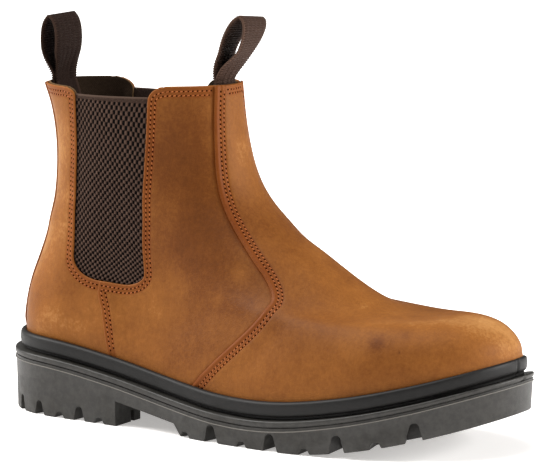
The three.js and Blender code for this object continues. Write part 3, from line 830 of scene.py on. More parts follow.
@dataclass(frozen=True)
class StitchRows:
    """Two rows of stitches at distances from an edge."""

    first: float
    second: float

    def press(self, distance: Array) -> Array:
        """Returns how the rows draw the leather in, at distances from the edge."""
        draw = -0.28 * (bell(distance - self.first, 0.75) + bell(distance - self.second, 0.75))
        return draw + 0.12 * bell(distance - (self.first + self.second) / 2, 0.7)


VAMP_ROWS = StitchRows(2.8, 4.9)
GUSSET_ROWS = StitchRows(2.0, 4.1)
REAR_ROWS = StitchRows(1.7, 4.0)
COLLAR_ROWS = StitchRows(2.0, 4.1)
STRIP_ROW = 2.2


@dataclass
class Upper:
    """The leather panels, their lining and the rows that sew them together."""

    leather: bpy.types.Material
    lining: bpy.types.Material
    step: float = 1.1
    fade: float = 16.0
    leather_wall: float = 1.25
    lap: float = 6.0
    foot: float = -0.016
    strip_top: float = 10.5
    strip_foot: float = 17.0
    lines: dict[str, dict[Side, Array]] = field(default_factory=dict)

    def __post_init__(self) -> None:
        """Lays out the seams' lines."""
        self.lines = {
            "vamp": {side: VAMP_LINE.points(side, -0.02, 1.01, 500) for side in Side},
            "rear": {side: REAR_LINE.points(side, -0.02, 0.3, 200) for side in Side},
            "strip": {side: self._strip_line(side) for side in Side},
            "gusset": {side: self._gusset_line(side) for side in Side},
        }

    def strip_run(self, side: Side, s: Array) -> Array:
        """Returns the run from the front to the back strip's edge."""
        half = lerp(self.strip_foot, self.strip_top, np.clip(np.asarray(s) / 0.4, 0, 1))
        return GIRTH[side].total(s) - half

    def _strip_line(self, side: Side) -> Array:
        """Returns points of the back strip's edge."""
        s = np.linspace(-0.02, 1.01, 500)
        return LAST.point(s, GIRTH[side].angle(s, self.strip_run(side, s)))

    def _gusset_line(self, side: Side) -> Array:
        """Returns points of the gusset opening's edge.

        Args:
            side: The side of the boot.

        Returns:
            The points.
        """
        outline = CUTS[side].outline(0.0, 1.0)
        fine = np.concatenate([lerp(a, b, np.linspace(0, 1, 4, endpoint=False)[:, None])
                               for a, b in zip(outline[:-1], outline[1:])])
        return LAST.point(*CUT.on_last(side, fine[:, 0], fine[:, 1]))

    def side_of(self, angle: Array) -> Array:
        """Returns True on the inner side."""
        return np.asarray(angle) >= 0

    def _near(self, name: str, points: Array, angle: Array) -> Array:
        """Returns distances to the seam of a name on each point's own side.

        Args:
            name: The seam's name.
            points: Places in millimetres.
            angle: Angles round the last.

        Returns:
            The distances.
        """
        inner = self.side_of(angle)
        out = np.empty(len(points))
        for side, mask in ((Side.INNER, inner), (Side.OUTER, ~inner)):
            if mask.any():
                out[mask] = nearest(points[mask], self.lines[name][side])
        return out

    def border(self, side: Side, points: Array) -> tuple[Array, Array]:
        """Returns distances to the gusset's opening, and to the nearer of it and the collar's top."""
        gusset = nearest(points, self.lines["gusset"][side])
        return gusset, np.minimum(gusset, nearest(points, COLLAR))

    def creases(self, points: Array) -> Array:
        """Returns the depth of all soft troughs at points.

        Args:
            points: Places in millimetres.

        Returns:
            The depths.
        """
        total = np.zeros(len(points))
        for crease in CREASES:
            total += crease.dent(points)
        x, y, z = points.T
        wave = np.sin(x * 0.11 + z * 0.07) * np.sin(z * 0.09 - y * 0.05)
        return total + 0.22 * wave

    def tone(self, points: Array) -> Array:
        """Returns the leather's tone at points: wax and wear together with painted light and shade."""
        return np.clip(sum(patch.shade(points) for patch in TONE_AND_LIGHT_PATCHES), -1, 1)

    def vamp_out(self, s: Array, angle: Array, points: Array) -> tuple[Array, Array]:
        """Returns how far the vamp stands out, and how near its edge is.

        Args:
            s: Shares of the shaft's height.
            angle: Angles round the last.
            points: Places in millimetres.

        Returns:
            The distances out, and shares that are 1 at the edge.
        """
        seam = self._near("vamp", points, angle)
        settle = smooth(-0.01, 0.05, s)
        out = self.step * settle * (1 - smooth(1.5, self.fade, seam))
        out += 0.3 * bell(seam - 0.8, 0.7) + VAMP_ROWS.press(seam)
        top = nearest(points, COLLAR)
        out += COLLAR_ROWS.press(top) * smooth(5.6, 6.6, seam)
        band = np.maximum(1 - smooth(4.8, 6.2, seam), 1 - smooth(4.2, 5.6, top))
        return out, band * (0.75 + 0.25 * (1 - smooth(1.6, 2.6, seam)))

    def quarter_out(self, s: Array, angle: Array, points: Array) -> tuple[Array, Array]:
        """Returns how far a front side panel stands out, and how near its edge is.

        Args:
            s: Shares of the shaft's height.
            angle: Angles round the last.
            points: Places in millimetres.

        Returns:
            The distances out, and shares that are 1 at the edge.
        """
        side = Side.INNER if self.side_of(angle).all() else Side.OUTER
        seam = nearest(points, self.lines["vamp"][side])
        under = GIRTH[side].run(s, angle) < VAMP_LINE.run(side, s)
        rear = nearest(points, self.lines["rear"][side])
        gusset, border = self.border(side, points)
        settle = smooth(-0.01, 0.05, s)
        out = self.step * settle * (1 - smooth(1.0, self.fade, rear)) * (s < 0.31)
        out = np.where(under, -0.45 * smooth(0.0, 2.0, seam), out - 0.3 * bell(seam, 1.2))
        out += 0.4 * bell(gusset - 0.9, 1.0) + GUSSET_ROWS.press(border) * smooth(1.0, 2.0, seam)
        below = smooth(5.5, 6.5, gusset)
        out += REAR_ROWS.press(rear) * below * (s < 0.31)
        edge = np.maximum(1 - smooth(4.4, 5.8, border), (1 - smooth(4.0, 5.4, rear)) * (s < 0.29))
        return out, np.maximum(edge * 0.8, bell(seam - 0.5, 1.1))

    def rear_out(self, s: Array, angle: Array, points: Array) -> tuple[Array, Array]:
        """Returns how far a rear side panel stands out, and how near its edge is.

        Args:
            s: Shares of the shaft's height.
            angle: Angles round the last.
            points: Places in millimetres.

        Returns:
            The distances out, and shares that are 1 at the edge.
        """
        side = Side.INNER if self.side_of(angle).all() else Side.OUTER
        gusset, border = self.border(side, points)
        rear = nearest(points, self.lines["rear"][side])
        strip = nearest(points, self.lines["strip"][side])
        run = GIRTH[side].run(s, angle)
        under = (run < REAR_LINE.run(side, s)) & (s < 0.31)
        tucked = run > self.strip_run(side, s)
        out = np.where(under, -0.45 * smooth(0.0, 2.0, rear), 0.0)
        out = np.where(tucked, -0.45 * smooth(0.0, 2.0, strip), out)
        out -= 0.3 * bell(strip, 1.5)
        out += 0.4 * bell(gusset - 0.9, 1.0) + GUSSET_ROWS.press(border) * smooth(1.0, 2.0, strip)
        return out, (1 - smooth(4.4, 5.8, border)) * 0.8

    def strip_out(self, s: Array, angle: Array, points: Array) -> tuple[Array, Array]:
        """Returns how far the back strip stands out, and how near its edge is.

        Args:
            s: Shares of the shaft's height.
            angle: Angles round the last.
            points: Places in millimetres.

        Returns:
            The distances out, and shares that are 1 at the edge.
        """
        seam = self._near("strip", points, angle)
        settle = smooth(-0.01, 0.05, s)
        out = self.step * settle + 0.25 * bell(seam - 1.0, 1.0) - 0.25 * bell(seam - STRIP_ROW, 0.7)
        top = nearest(points, COLLAR)
        out += COLLAR_ROWS.press(top) * smooth(3.0, 4.0, seam)
        return out, np.maximum(1 - smooth(0.6, 3.4, seam), 0.8 * (1 - smooth(4.2, 5.6, top)))

    def panel(
        self, name: str, sheet: Sheet, out_at: Callable, thickness: float, cut_edge: bool = False
    ) -> bpy.types.Object:
        """Makes a leather panel.

        Args:
            name: The panel's name.
            sheet: Its places on the last.
            out_at: What gives its stand-out and edge at places.
            thickness: The leather's thickness.
            cut_edge: Whether its edge is cut, not folded, and pale along its crown, partly as a painted
                highlight.

        Returns:
            The panel.
        """
        base = LAST.point(sheet.s, sheet.angle)
        out, edge = out_at(sheet.s, sheet.angle, base)
        normals = LAST.normal(sheet.s, sheet.angle)
        calm = smooth(0.0, 0.06, sheet.s) * smooth(0.0, 0.03, 1 - sheet.s)
        outer = base + normals * (out + self.creases(base) * calm)[:, None]
        points, faces, crown = sheet.thicken(outer, normals, thickness)
        band = np.maximum(np.pad(edge, (0, len(points) - len(edge))), crown * 0.9)
        # The rim mark paints cut edges' crowns pale: partly the cut leather's colour, partly a painted
        # highlight.
        rim = crown if cut_edge else crown * 0
        # The tone mark carries wax and wear together with painted light and shade.
        marks = {"tone": self.tone(points), "edge": band, "rim": rim}
        piece = add_piece(name, points, faces, self.leather, marks, 70)
        return settle(piece, "leather")

    def rows(self, count: int) -> Array:
        """Returns levels from the leather's foot to the collar."""
        t = np.linspace(0, 1, count)
        return lerp(self.foot, 1.0, t)

    def build(self) -> list[bpy.types.Object]:
        """Builds the panels and the lining.

        Returns:
            The pieces.
        """
        pieces = [self._vamp()]
        for side in Side:
            name = side.name.lower()
            for panel, span, out_at, columns in (
                ("quarter", self._quarter_span, self.quarter_out, 130),
                ("rear_panel", self._rear_span, self.rear_out, 84),
            ):
                pieces.append(self._between(side, f"{panel}_{name}", span, out_at, 170, columns))
        pieces.append(self._strip())
        pieces.append(self._lining())
        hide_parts("upper")
        return pieces

    def _vamp(self) -> bpy.types.Object:
        """Builds the vamp with the shaft's front, in one piece.

        Returns:
            The vamp.
        """
        s = self.rows(130)[:, None]
        t = np.linspace(0, 1, 116)[None]
        away = 0.35 * t + 0.65 * t**2.2
        halves = []
        for side in Side:
            half = VAMP_LINE.run(side, s)
            halves.append(GIRTH[side].angle(s, half * (1 - away)))
        inner, outer = halves
        angle = np.concatenate([outer[:, :-1], np.zeros_like(s), inner[:, ::-1][:, 1:]], 1)
        sheet = Sheet.grid(np.broadcast_to(s, angle.shape), angle)
        return self.panel("vamp", sheet, self.vamp_out, self.leather_wall)

    def _quarter_span(self, side: Side, s: Array) -> tuple[Array, Array]:
        """Returns the runs where a front side panel starts and ends."""
        return VAMP_LINE.run(side, s) - self.lap, REAR_LINE.run(side, s)

    def _rear_span(self, side: Side, s: Array) -> tuple[Array, Array]:
        """Returns the runs where a rear side panel starts and ends."""
        return REAR_LINE.run(side, s) - self.lap, self.strip_run(side, s) + self.lap * 0.8

    def _between(
        self, side: Side, name: str, span: Callable, out_at: Callable, rows: int, columns: int,
    ) -> bpy.types.Object:
        """Builds a panel between two lines, with the gusset's opening cut out.

        Args:
            side: The side of the boot.
            name: The panel's name.
            span: What gives the runs of the two lines.
            out_at: What gives the panel's stand-out.
            rows: Rows of its mesh.
            columns: Columns of its mesh.

        Returns:
            The panel.
        """
        s = self.rows(rows)[:, None]
        start, end = span(side, s)
        run = lerp(start, end, np.linspace(0, 1, columns)[None])
        angle = GIRTH[side].angle(s, run)
        sheet = Sheet.grid(np.broadcast_to(s, angle.shape), angle)
        x, y = CUT.flat(side, sheet.s, sheet.angle)
        sheet = sheet.cut(CUTS[side].beyond(x, y, 0.6))
        return self.panel(name, sheet, out_at, self.leather_wall, True)

    def _strip(self) -> bpy.types.Object:
        """Builds the back strip.

        Returns:
            The strip.
        """
        s = self.rows(140)[:, None]
        t = np.linspace(0, 1, 36)[None]
        halves = []
        for side in Side:
            total = GIRTH[side].total(s)
            angle = GIRTH[side].angle(s, lerp(self.strip_run(side, s), total, t))
            halves.append(np.abs(angle))
        inner, outer = halves
        beyond = 2 * math.pi - outer[:, ::-1][:, 1:]
        angle = np.concatenate([inner[:, :-1], np.full_like(s, math.pi), beyond], 1)
        sheet = Sheet.grid(np.broadcast_to(s, angle.shape), angle)
        wrapped = lambda s, angle, points: self.strip_out(s, np.where(angle > math.pi, -1.0, 1.0), points)
        return self.panel("back_strip", sheet, wrapped, self.leather_wall)

    def _lining(self) -> bpy.types.Object:
        """Builds the lining inside the leather, open at the gussets and rolled at its top.

        Returns:
            The lining.
        """
        s = lerp(-0.03, 1.0, np.linspace(0, 1, 84))[:, None]
        angle = np.linspace(-math.pi, math.pi, 211)[None][:, :-1]
        shape = np.broadcast_shapes(s.shape, angle.shape)
        sheet = Sheet.grid(np.broadcast_to(s, shape), np.broadcast_to(angle, shape), closed=True)
        keep = np.full(len(sheet.s), 9.0)
        for side in Side:
            mask = self.side_of(sheet.angle) == (side is Side.INNER)
            x, y = CUT.flat(side, sheet.s[mask], sheet.angle[mask])
            keep[mask] = CUTS[side].beyond(x, y, 0.8)
        sheet = sheet.cut(keep)
        inside = np.full(len(sheet.s), 9.0)
        for side in Side:
            mask = self.side_of(sheet.angle) == (side is Side.INNER)
            inside[mask] = CUTS[side].beyond(*CUT.flat(side, sheet.s[mask], sheet.angle[mask]))
        base = LAST.point(sheet.s, sheet.angle)
        normals = LAST.normal(sheet.s, sheet.angle)
        depth = 1.42 + 1.15 * (1 - smooth(3.6, 6.5, inside)) * (1 - smooth(0.93, 0.97, sheet.s))
        outer = base - normals * depth[:, None]
        points, faces, crown = sheet.thicken(outer, normals, 1.35, 5)
        marks = {"edge": crown, "tone": np.zeros(len(points))}
        return settle(add_piece("lining", points, faces, self.lining, marks, 70), "leather")


# What is set in rows


@dataclass
class RowTree:
    """A node tree that sets small beads on points, turned by the points' own directions."""

    bead: Bead

    def build(self) -> bpy.types.GeometryNodeTree:
        """Builds the tree with named inputs.

        Returns:
            The node tree.
        """
        tree = bpy.data.node_groups.new(f"row_of_{self.bead.value}s", "GeometryNodeTree")
        face = tree.interface
        face.new_socket("Geometry", in_out="INPUT", socket_type="NodeSocketGeometry")
        for name, kind in (("Length", "Float"), ("Width", "Float"), ("Height", "Float"), ("Slant", "Float"),
                           ("Stray", "Float"), ("Seed", "Int"), ("Material", "Material")):
            face.new_socket(name, in_out="INPUT", socket_type=f"NodeSocket{kind}")
        face.new_socket("Geometry", in_out="OUTPUT", socket_type="NodeSocketGeometry")
        node = tree.nodes.new
        link = tree.links.new
        given = node("NodeGroupInput")
        bead = self._bead(tree)
        size = node("ShaderNodeCombineXYZ")
        for axis, name in (("X", "Length"), ("Y", "Width"), ("Z", "Height")):
            half = node("ShaderNodeMath")
            half.operation = "MULTIPLY"
            half.inputs[1].default_value = 0.5
            link(given.outputs[name], half.inputs[0])
            link(half.outputs[0], size.inputs[axis])
        up, along = node("GeometryNodeInputNamedAttribute"), node("GeometryNodeInputNamedAttribute")
        for reader, name in ((up, "up"), (along, "along")):
            reader.data_type = "FLOAT_VECTOR"
            reader.inputs["Name"].default_value = name
        turn = node("FunctionNodeAxesToRotation")
        turn.primary_axis, turn.secondary_axis = "Z", "X"
        link(up.outputs["Attribute"], turn.inputs["Primary Axis"])
        link(along.outputs["Attribute"], turn.inputs["Secondary Axis"])
        stray = node("FunctionNodeRandomValue")
        stray.data_type = "FLOAT"
        flip = node("ShaderNodeMath")
        flip.operation = "MULTIPLY"
        flip.inputs[1].default_value = -1.0
        link(given.outputs["Stray"], flip.inputs[0])
        floats = [limit for limit in stray.inputs if limit.type == "VALUE" and limit.name in ("Min", "Max")]
        link(flip.outputs[0], floats[0])
        link(given.outputs["Stray"], floats[1])
        link(given.outputs["Seed"], stray.inputs["Seed"])
        total = node("ShaderNodeMath")
        link(given.outputs["Slant"], total.inputs[0])
        link([s for s in stray.outputs if s.type == "VALUE" and s.enabled][0], total.inputs[1])
        lean = node("ShaderNodeCombineXYZ")
        link(total.outputs[0], lean.inputs["Z"])
        euler = node("FunctionNodeEulerToRotation")
        link(lean.outputs[0], euler.inputs[0])
        both = node("FunctionNodeRotateRotation")
        both.rotation_space = "LOCAL"
        link(turn.outputs[0], both.inputs[0])
        link(euler.outputs[0], both.inputs[1])
        place = node("GeometryNodeInstanceOnPoints")
        link(given.outputs["Geometry"], place.inputs["Points"])
        link(bead, place.inputs["Instance"])
        link(both.outputs[0], place.inputs["Rotation"])
        link(size.outputs[0], place.inputs["Scale"])
        real = node("GeometryNodeRealizeInstances")
        paint = node("GeometryNodeSetMaterial")
        out = node("NodeGroupOutput")
        link(place.outputs[0], real.inputs[0])
        link(real.outputs[0], paint.inputs["Geometry"])
        link(given.outputs["Material"], paint.inputs["Material"])
        link(paint.outputs[0], out.inputs[0])
        return tree

    def _bead(self, tree: bpy.types.GeometryNodeTree) -> bpy.types.NodeSocket:
        """Returns the socket that gives one bead of radius 1 along X.

        Args:
            tree: The tree that the bead goes in.

        Returns:
            The bead's socket.
        """
        if self.bead is Bead.OVAL:
            ball = tree.nodes.new("GeometryNodeMeshUVSphere")
            ball.inputs["Segments"].default_value = 8
            ball.inputs["Rings"].default_value = 5
            ball.inputs["Radius"].default_value = 1.0
            return ball.outputs[0]
        bar = tree.nodes.new("GeometryNodeMeshCylinder")
        bar.inputs["Vertices"].default_value = 8
        bar.inputs["Radius"].default_value = 1.0
        bar.inputs["Depth"].default_value = 2.0
        lay = tree.nodes.new("GeometryNodeTransform")
        lay.inputs["Rotation"].default_value = (0.0, math.pi / 2, 0.0)
        tree.links.new(bar.outputs[0], lay.inputs["Geometry"])
        return lay.outputs[0]


@dataclass(frozen=True)
class BeadSize:
    """Size of one bead of a row, in millimetres, with its slant in degrees."""

    length: float
    width: float
    height: float
    slant: float = 0.0
    stray: float = 4.0


@dataclass
class Rows:
    """Sets beads at points and turns the result into a plain mesh."""

    trees: dict[Bead, bpy.types.GeometryNodeTree] = field(default_factory=dict)

    def set(
        self, name: str, points: Array, up: Array, along: Array, bead: Bead, size: BeadSize,
        material: bpy.types.Material, seed: int = 1,
    ) -> bpy.types.Object:
        """Sets a bead at each point.

        Args:
            name: The piece's name.
            points: Where the beads are, in millimetres, in the last's frame.
            up: Directions out of the surface.
            along: Directions along the row.
            bead: The bead's shape.
            size: The bead's size.
            material: Its material.
            seed: Seed of the small random turns.

        Returns:
            The finished piece.
        """
        mesh = bpy.data.meshes.new(f"{name}_points")
        mesh.from_pydata(to_row(points).tolist(), [], [])
        for key, values in (("up", up), ("along", along)):
            attribute = mesh.attributes.new(key, "FLOAT_VECTOR", "POINT")
            attribute.data.foreach_set("vector", np.asarray(values, np.float32).ravel())
        carrier = bpy.data.objects.new(f"{name}_points", mesh)
        bpy.context.scene.collection.objects.link(carrier)
        if bead not in self.trees:
            self.trees[bead] = RowTree(bead).build()
        modifier = carrier.modifiers.new("rows", "NODES")
        modifier.node_group = self.trees[bead]
        values = {
            "Length": size.length * 0.001, "Width": size.width * 0.001, "Height": size.height * 0.001,
            "Slant": math.radians(size.slant), "Stray": math.radians(size.stray), "Seed": seed,
            "Material": material,
        }
        for item in self.trees[bead].interface.items_tree:
            if item.in_out == "INPUT" and item.name in values:
                modifier[item.identifier] = values[item.name]
        graph = bpy.context.evaluated_depsgraph_get()
        baked = bpy.data.meshes.new_from_object(carrier.evaluated_get(graph), depsgraph=graph)
        baked.name = name
        bpy.data.objects.remove(carrier)
        baked.shade_smooth()
        piece = bpy.data.objects.new(name, baked)
        bpy.context.scene.collection.objects.link(piece)
        log.info("%s: %d beads, %d faces", name, len(points), len(baked.polygons))
        return piece


@dataclass(frozen=True)
class Path:
    """A row's path over the leather, as places on the last."""

    s: Array
    angle: Array

    def aside(self, distance: float) -> "Path":
        """Returns the path moved sideways, to the left as it runs, seen from outside.

        Args:
            distance: The distance from the line.

        Returns:
            The moved path.
        """
        up, around = LAST.tangents(self.s, self.angle)
        points = LAST.point(self.s, self.angle)
        along = unit(np.gradient(points, axis=0))
        normal = unit(np.cross(around, up))
        way = np.cross(normal, along) * distance
        uu, ua, aa = (up * up).sum(1), (up * around).sum(1), (around * around).sum(1)
        wu, wa = (way * up).sum(1), (way * around).sum(1)
        det = uu * aa - ua * ua
        return Path(self.s + (wu * aa - wa * ua) / det, self.angle + (wa * uu - wu * ua) / det)

    def even(self, step: float) -> "Path":
        """Returns the same path with its places about a step apart, softened where it turns.

        Args:
            step: The run between places.

        Returns:
            The even path.
        """
        path = self.every(step)
        s, angle = path.s.copy(), path.angle.copy()
        for _ in range(3):
            s[1:-1] = (s[:-2] + 2 * s[1:-1] + s[2:]) / 4
            angle[1:-1] = (angle[:-2] + 2 * angle[1:-1] + angle[2:]) / 4
        return Path(s, angle)

    def every(self, pitch: float, start: float = 0.0, end: float = 0.0) -> "Path":
        """Returns places at even runs along the path.

        Args:
            pitch: The run between places.
            start: The run left free at the start.
            end: The run left free at the end.

        Returns:
            The places.
        """
        points = LAST.point(self.s, self.angle)
        run = np.concatenate([[0], np.cumsum(np.linalg.norm(np.diff(points, axis=0), axis=1))])
        stops = np.arange(start, run[-1] - end, pitch)
        return Path(np.interp(stops, run, self.s), np.interp(stops, run, self.angle))

    def where(self, keep: Array) -> "Path":
        """Returns the part of the path where keep is true."""
        return Path(self.s[keep], self.angle[keep])


@dataclass
class Stitching:
    """All rows of stitches: bright thread between needle holes, which are dark beads of painted shade."""

    upper: Upper
    rows: Rows
    thread: bpy.types.Material
    # The needle holes' finish: painted shade.
    hole: bpy.types.Material
    pitch: float = 2.4
    thread_size: BeadSize = BeadSize(1.7, 0.66, 0.5, 16.0, 6.0)
    hole_size: BeadSize = BeadSize(1.2, 1.1, 0.5, 0.0, 10.0)
    free_end: float = 1.5
    front_reach: float = 6.4
    back_reach: float = 3.8

    def build(self) -> list[bpy.types.Object]:
        """Builds the rows of each seam.

        Returns:
            The pieces, each with its thread or its holes.
        """
        pieces = []
        for side in Side:
            name = side.name.lower()
            for row, distance in enumerate((VAMP_ROWS.first, VAMP_ROWS.second)):
                path = self._vamp_path(side, distance)
                pieces += self._sew(f"vamp_row_{row}_{name}", path, self.upper.vamp_out, row)
            for row, distance in enumerate((GUSSET_ROWS.first, GUSSET_ROWS.second)):
                front, rear = self._edge_paths(side, distance)
                pieces += self._sew(f"quarter_edge_row_{row}_{name}", front, self.upper.quarter_out, row)
                pieces += self._sew(f"rear_edge_row_{row}_{name}", rear, self.upper.rear_out, row)
            for row, distance in enumerate((REAR_ROWS.first, REAR_ROWS.second)):
                path = self._rear_path(side, distance)
                pieces += self._sew(f"rear_row_{row}_{name}", path, self.upper.quarter_out, row)
            pieces += self._sew(f"strip_row_{name}", self._strip_path(side), self._strip_out, 0)
        for row, drop in enumerate((COLLAR_ROWS.first, COLLAR_ROWS.second)):
            pieces += self._sew(f"collar_front_row_{row}", self._front_path(drop), self.upper.vamp_out, row)
            pieces += self._sew(f"collar_back_row_{row}", self._back_path(drop), self._strip_out, row)
        return self._join(pieces)

    def _strip_out(self, s: Array, angle: Array, points: Array) -> tuple[Array, Array]:
        """Returns the back strip's stand-out."""
        return self.upper.strip_out(s, np.where(np.abs(angle) > math.pi, -angle, angle), points)

    def _vamp_path(self, side: Side, distance: float) -> Path:
        """Returns a row inside the vamp's edge.

        Args:
            side: The side of the boot.
            distance: The distance from the line.

        Returns:
            The row's path.
        """
        s = np.linspace(0.012, 1.0, 500)
        path = Path(s, GIRTH[side].angle(s, VAMP_LINE.run(side, s))).aside(distance * side.value)
        return path.where(path.s < 1 - self.free_end / CUT.rise)

    def _rear_path(self, side: Side, distance: float) -> Path:
        """Returns a row in front of the rear seam, up to the gusset's rows.

        Args:
            side: The side of the boot.
            distance: The distance from the line.

        Returns:
            The row's path.
        """
        s = np.linspace(0.012, 0.3, 200)
        path = Path(s, GIRTH[side].angle(s, REAR_LINE.run(side, s))).aside(distance * side.value)
        x, y = CUT.flat(side, path.s, path.angle)
        return path.where(CUTS[side].beyond(x, y) > GUSSET_ROWS.second + 1.2)

    def _edge_paths(self, side: Side, distance: float) -> tuple[Path, Path]:
        """Finds a row below the collar and round the gusset, in its front and its rear part.

        Args:
            side: The side of the boot.
            distance: The row's distance from the edge.

        Returns:
            The row on the front side panel and the row on the rear one.
        """
        outline = CUTS[side].outline(0.0, 1.0)
        start = VAMP_LINE.run(side, 1.0) - GUSSET_LINE.run(side, 1.0) + self.free_end
        end = self.upper.strip_run(side, 1.0) - GUSSET_LINE.run(side, 1.0) - self.free_end
        level = lambda low, high: np.stack([np.linspace(low, high, 60), np.full(60, CUT.rise)], 1)
        whole = np.concatenate([level(start, outline[0, 0])[:-1], outline, level(outline[-1, 0], end)[1:]])
        line = Path(*CUT.on_last(side, whole[:, 0], whole[:, 1])).even(0.5).aside(-distance * side.value)
        x, _ = CUT.flat(side, line.s, line.angle)
        run = GIRTH[side].run(line.s, line.angle)
        rear = run - REAR_LINE.run(side, line.s)
        high = line.s > 0.31
        return line.where(np.where(high, x < 0, rear < -0.3)), line.where(np.where(high, x > 0, rear > 1.2))

    def _strip_path(self, side: Side) -> Path:
        """Returns the row inside the back strip's edge."""
        s = np.linspace(0.012, 1 - self.free_end / CUT.rise, 400)
        return Path(s, GIRTH[side].angle(s, self.upper.strip_run(side, s))).aside(-STRIP_ROW * side.value)

    def _front_path(self, drop: float) -> Path:
        """Returns a row below the vamp's top."""
        inner, outer = (
            float(GIRTH[side].angle(1.0, VAMP_LINE.run(side, 1.0) - self.front_reach))
            for side in (Side.INNER, Side.OUTER)
        )
        return Path(np.ones(120), np.linspace(outer, inner, 120)).aside(-drop)

    def _back_path(self, drop: float) -> Path:
        """Returns a row below the back strip's top."""
        inner, outer = (
            float(GIRTH[side].angle(1.0, self.upper.strip_run(side, 1.0) + self.back_reach))
            for side in (Side.INNER, Side.OUTER)
        )
        return Path(np.ones(120), np.linspace(inner, outer + 2 * math.pi, 120)).aside(-drop)

    def _sew(self, name: str, path: Path, out_at: Callable, row: int) -> list[bpy.types.Object]:
        """Sews one row.

        Args:
            name: The row's name.
            path: Its path.
            out_at: What gives the leather's stand-out.
            row: The row's number, which shifts its stitches by half a pitch.

        Returns:
            The thread and the holes.
        """
        if len(path.s) < 3:
            return []
        pieces = []
        # Holes are dark beads laid on the leather: painted shade of needle holes.
        for kind, phase, size, material in (
            ("thread", 0.5, self.thread_size, self.thread),
            ("hole", 0.0, self.hole_size, self.hole),
        ):
            start = self.pitch * (0.3 + phase + 0.5 * row)
            spots = path.every(self.pitch, start % (self.pitch * 1.5), 0.4)
            if len(spots.s) < 2:
                continue
            base = LAST.point(spots.s, spots.angle)
            out, _ = out_at(spots.s, spots.angle, base)
            up = LAST.normal(spots.s, spots.angle)
            calm = smooth(0.0, 0.06, spots.s) * smooth(0.0, 0.03, 1 - spots.s)
            lift = out + self.upper.creases(base) * calm + (0.08 if kind == "thread" else 0.0)
            points = base + up * lift[:, None]
            along = unit(np.gradient(points, axis=0))
            row_name = f"{name}_{kind}"
            pieces.append(self.rows.set(row_name, points, up, along, Bead.OVAL, size, material, 7 + row))
        return pieces

    def _join(self, pieces: list[bpy.types.Object]) -> list[bpy.types.Object]:
        """Joins all thread into one piece and all holes into another.

        Args:
            pieces: The rows.

        Returns:
            The two pieces.
        """
        joined = []
        kinds = ("thread", "hole")
        groups = {kind: [piece for piece in pieces if piece.name.endswith(kind)] for kind in kinds}
        for kind, group in groups.items():
            keep = group[0]
            with bpy.context.temp_override(active_object=keep, selected_editable_objects=group):
                bpy.ops.object.join()
            keep.name = f"stitch_{kind}s"
            joined.append(settle(keep, "leather"))
        return joined


# Elastic gussets


@dataclass
class Gusset:
    """A woven elastic gusset with rows of small hollows and a folded top band."""

    side: Side
    elastic: bpy.types.Material
    margin: float = 3.0
    depth: float = 1.38
    thickness: float = 1.0
    row_pitch: float = 2.25
    hole_pitch: float = 2.9
    band: float = 2.2
    pitch: float = 0.46

    @property
    def top(self) -> float:
        """Returns the drop of the gusset's top below the collar."""
        return 4.0 if self.side is Side.OUTER else 7.0

    def weave(self, x: Array, y: Array) -> tuple[Array, Array, Array]:
        """Finds the weave's relief.

        Args:
            x: Flat places across the gusset.
            y: Heights.

        Returns:
            The relief in millimetres, the hollows' mask and how much the cords stand out.
        """
        columns = np.cos(2 * math.pi * x / self.hole_pitch)
        lattice = 0.5 + 0.5 * columns * np.cos(math.pi * y / self.row_pitch)
        under = CUT.rise - self.top - y
        woven = smooth(self.band - 0.4, self.band + 0.4, under)
        hole = smooth(0.36, 0.66, lattice) * woven
        fold = 0.3 * bell(under - self.band / 2, self.band / 2) - 0.35 * bell(under - self.band, 0.45)
        return 0.22 * (1 - lattice) * woven - 0.62 * hole + fold, hole, (1 - lattice) ** 1.5 * woven

    def build(self) -> bpy.types.Object:
        """Builds the gusset.

        Returns:
            The gusset, in place of its solid.
        """
        half = CUT.width / 2 + self.margin + 0.6
        high = CUT.rise - self.top
        low = CUT.foot_back * CUT.rise - self.margin - 1
        across = np.linspace(-half, half, int(2 * half / self.pitch) + 1)
        up = np.linspace(low, high, int((high - low) / self.pitch) + 1)
        x, y = np.broadcast_arrays(across[None], up[:, None])
        s, angle = CUT.on_last(self.side, x, y)
        sheet = Sheet.grid(s, angle)
        flat_x, flat_y = CUT.flat(self.side, sheet.s, sheet.angle)
        sheet = sheet.cut(-CUTS[self.side].beyond(flat_x, flat_y, self.margin))
        flat_x, flat_y = CUT.flat(self.side, sheet.s, sheet.angle)
        relief, hole, cord = self.weave(flat_x, flat_y)
        hidden = smooth(-0.8, 0.2, CUTS[self.side].beyond(flat_x, flat_y))
        base = LAST.point(sheet.s, sheet.angle)
        normals = LAST.normal(sheet.s, sheet.angle)
        bulge = 0.5 * np.clip(1 - (flat_x / 22) ** 2, 0, 1)
        out = -self.depth + (relief + bulge) * (1 - hidden)
        outer = base + normals * out[:, None]
        points, faces, crown = sheet.thicken(outer, normals, self.thickness)
        count = len(outer)
        points[count : 2 * count] = base - normals * (self.depth + self.thickness)
        more = (0, len(points) - count)
        top = np.zeros(len(points))
        top[:count] = 1 - smooth(0.2, 0.7, CUT.rise - self.top - flat_y)
        top[2 * count :] = crown[2 * count :]
        # The hollows' mask paints the weave's dents near black: painted shade.
        marks = {"pit": np.pad(hole, more), "tone": np.pad(cord, more), "edge": top}
        name = "elastic_inner" if self.side is Side.INNER else "elastic_outer"
        node = "gusset_medial" if self.side is Side.INNER else "gusset_lateral"
        piece = add_piece(name, points, faces, self.elastic, marks, 80)
        return settle(piece, "elastic", node)


# Pull loops


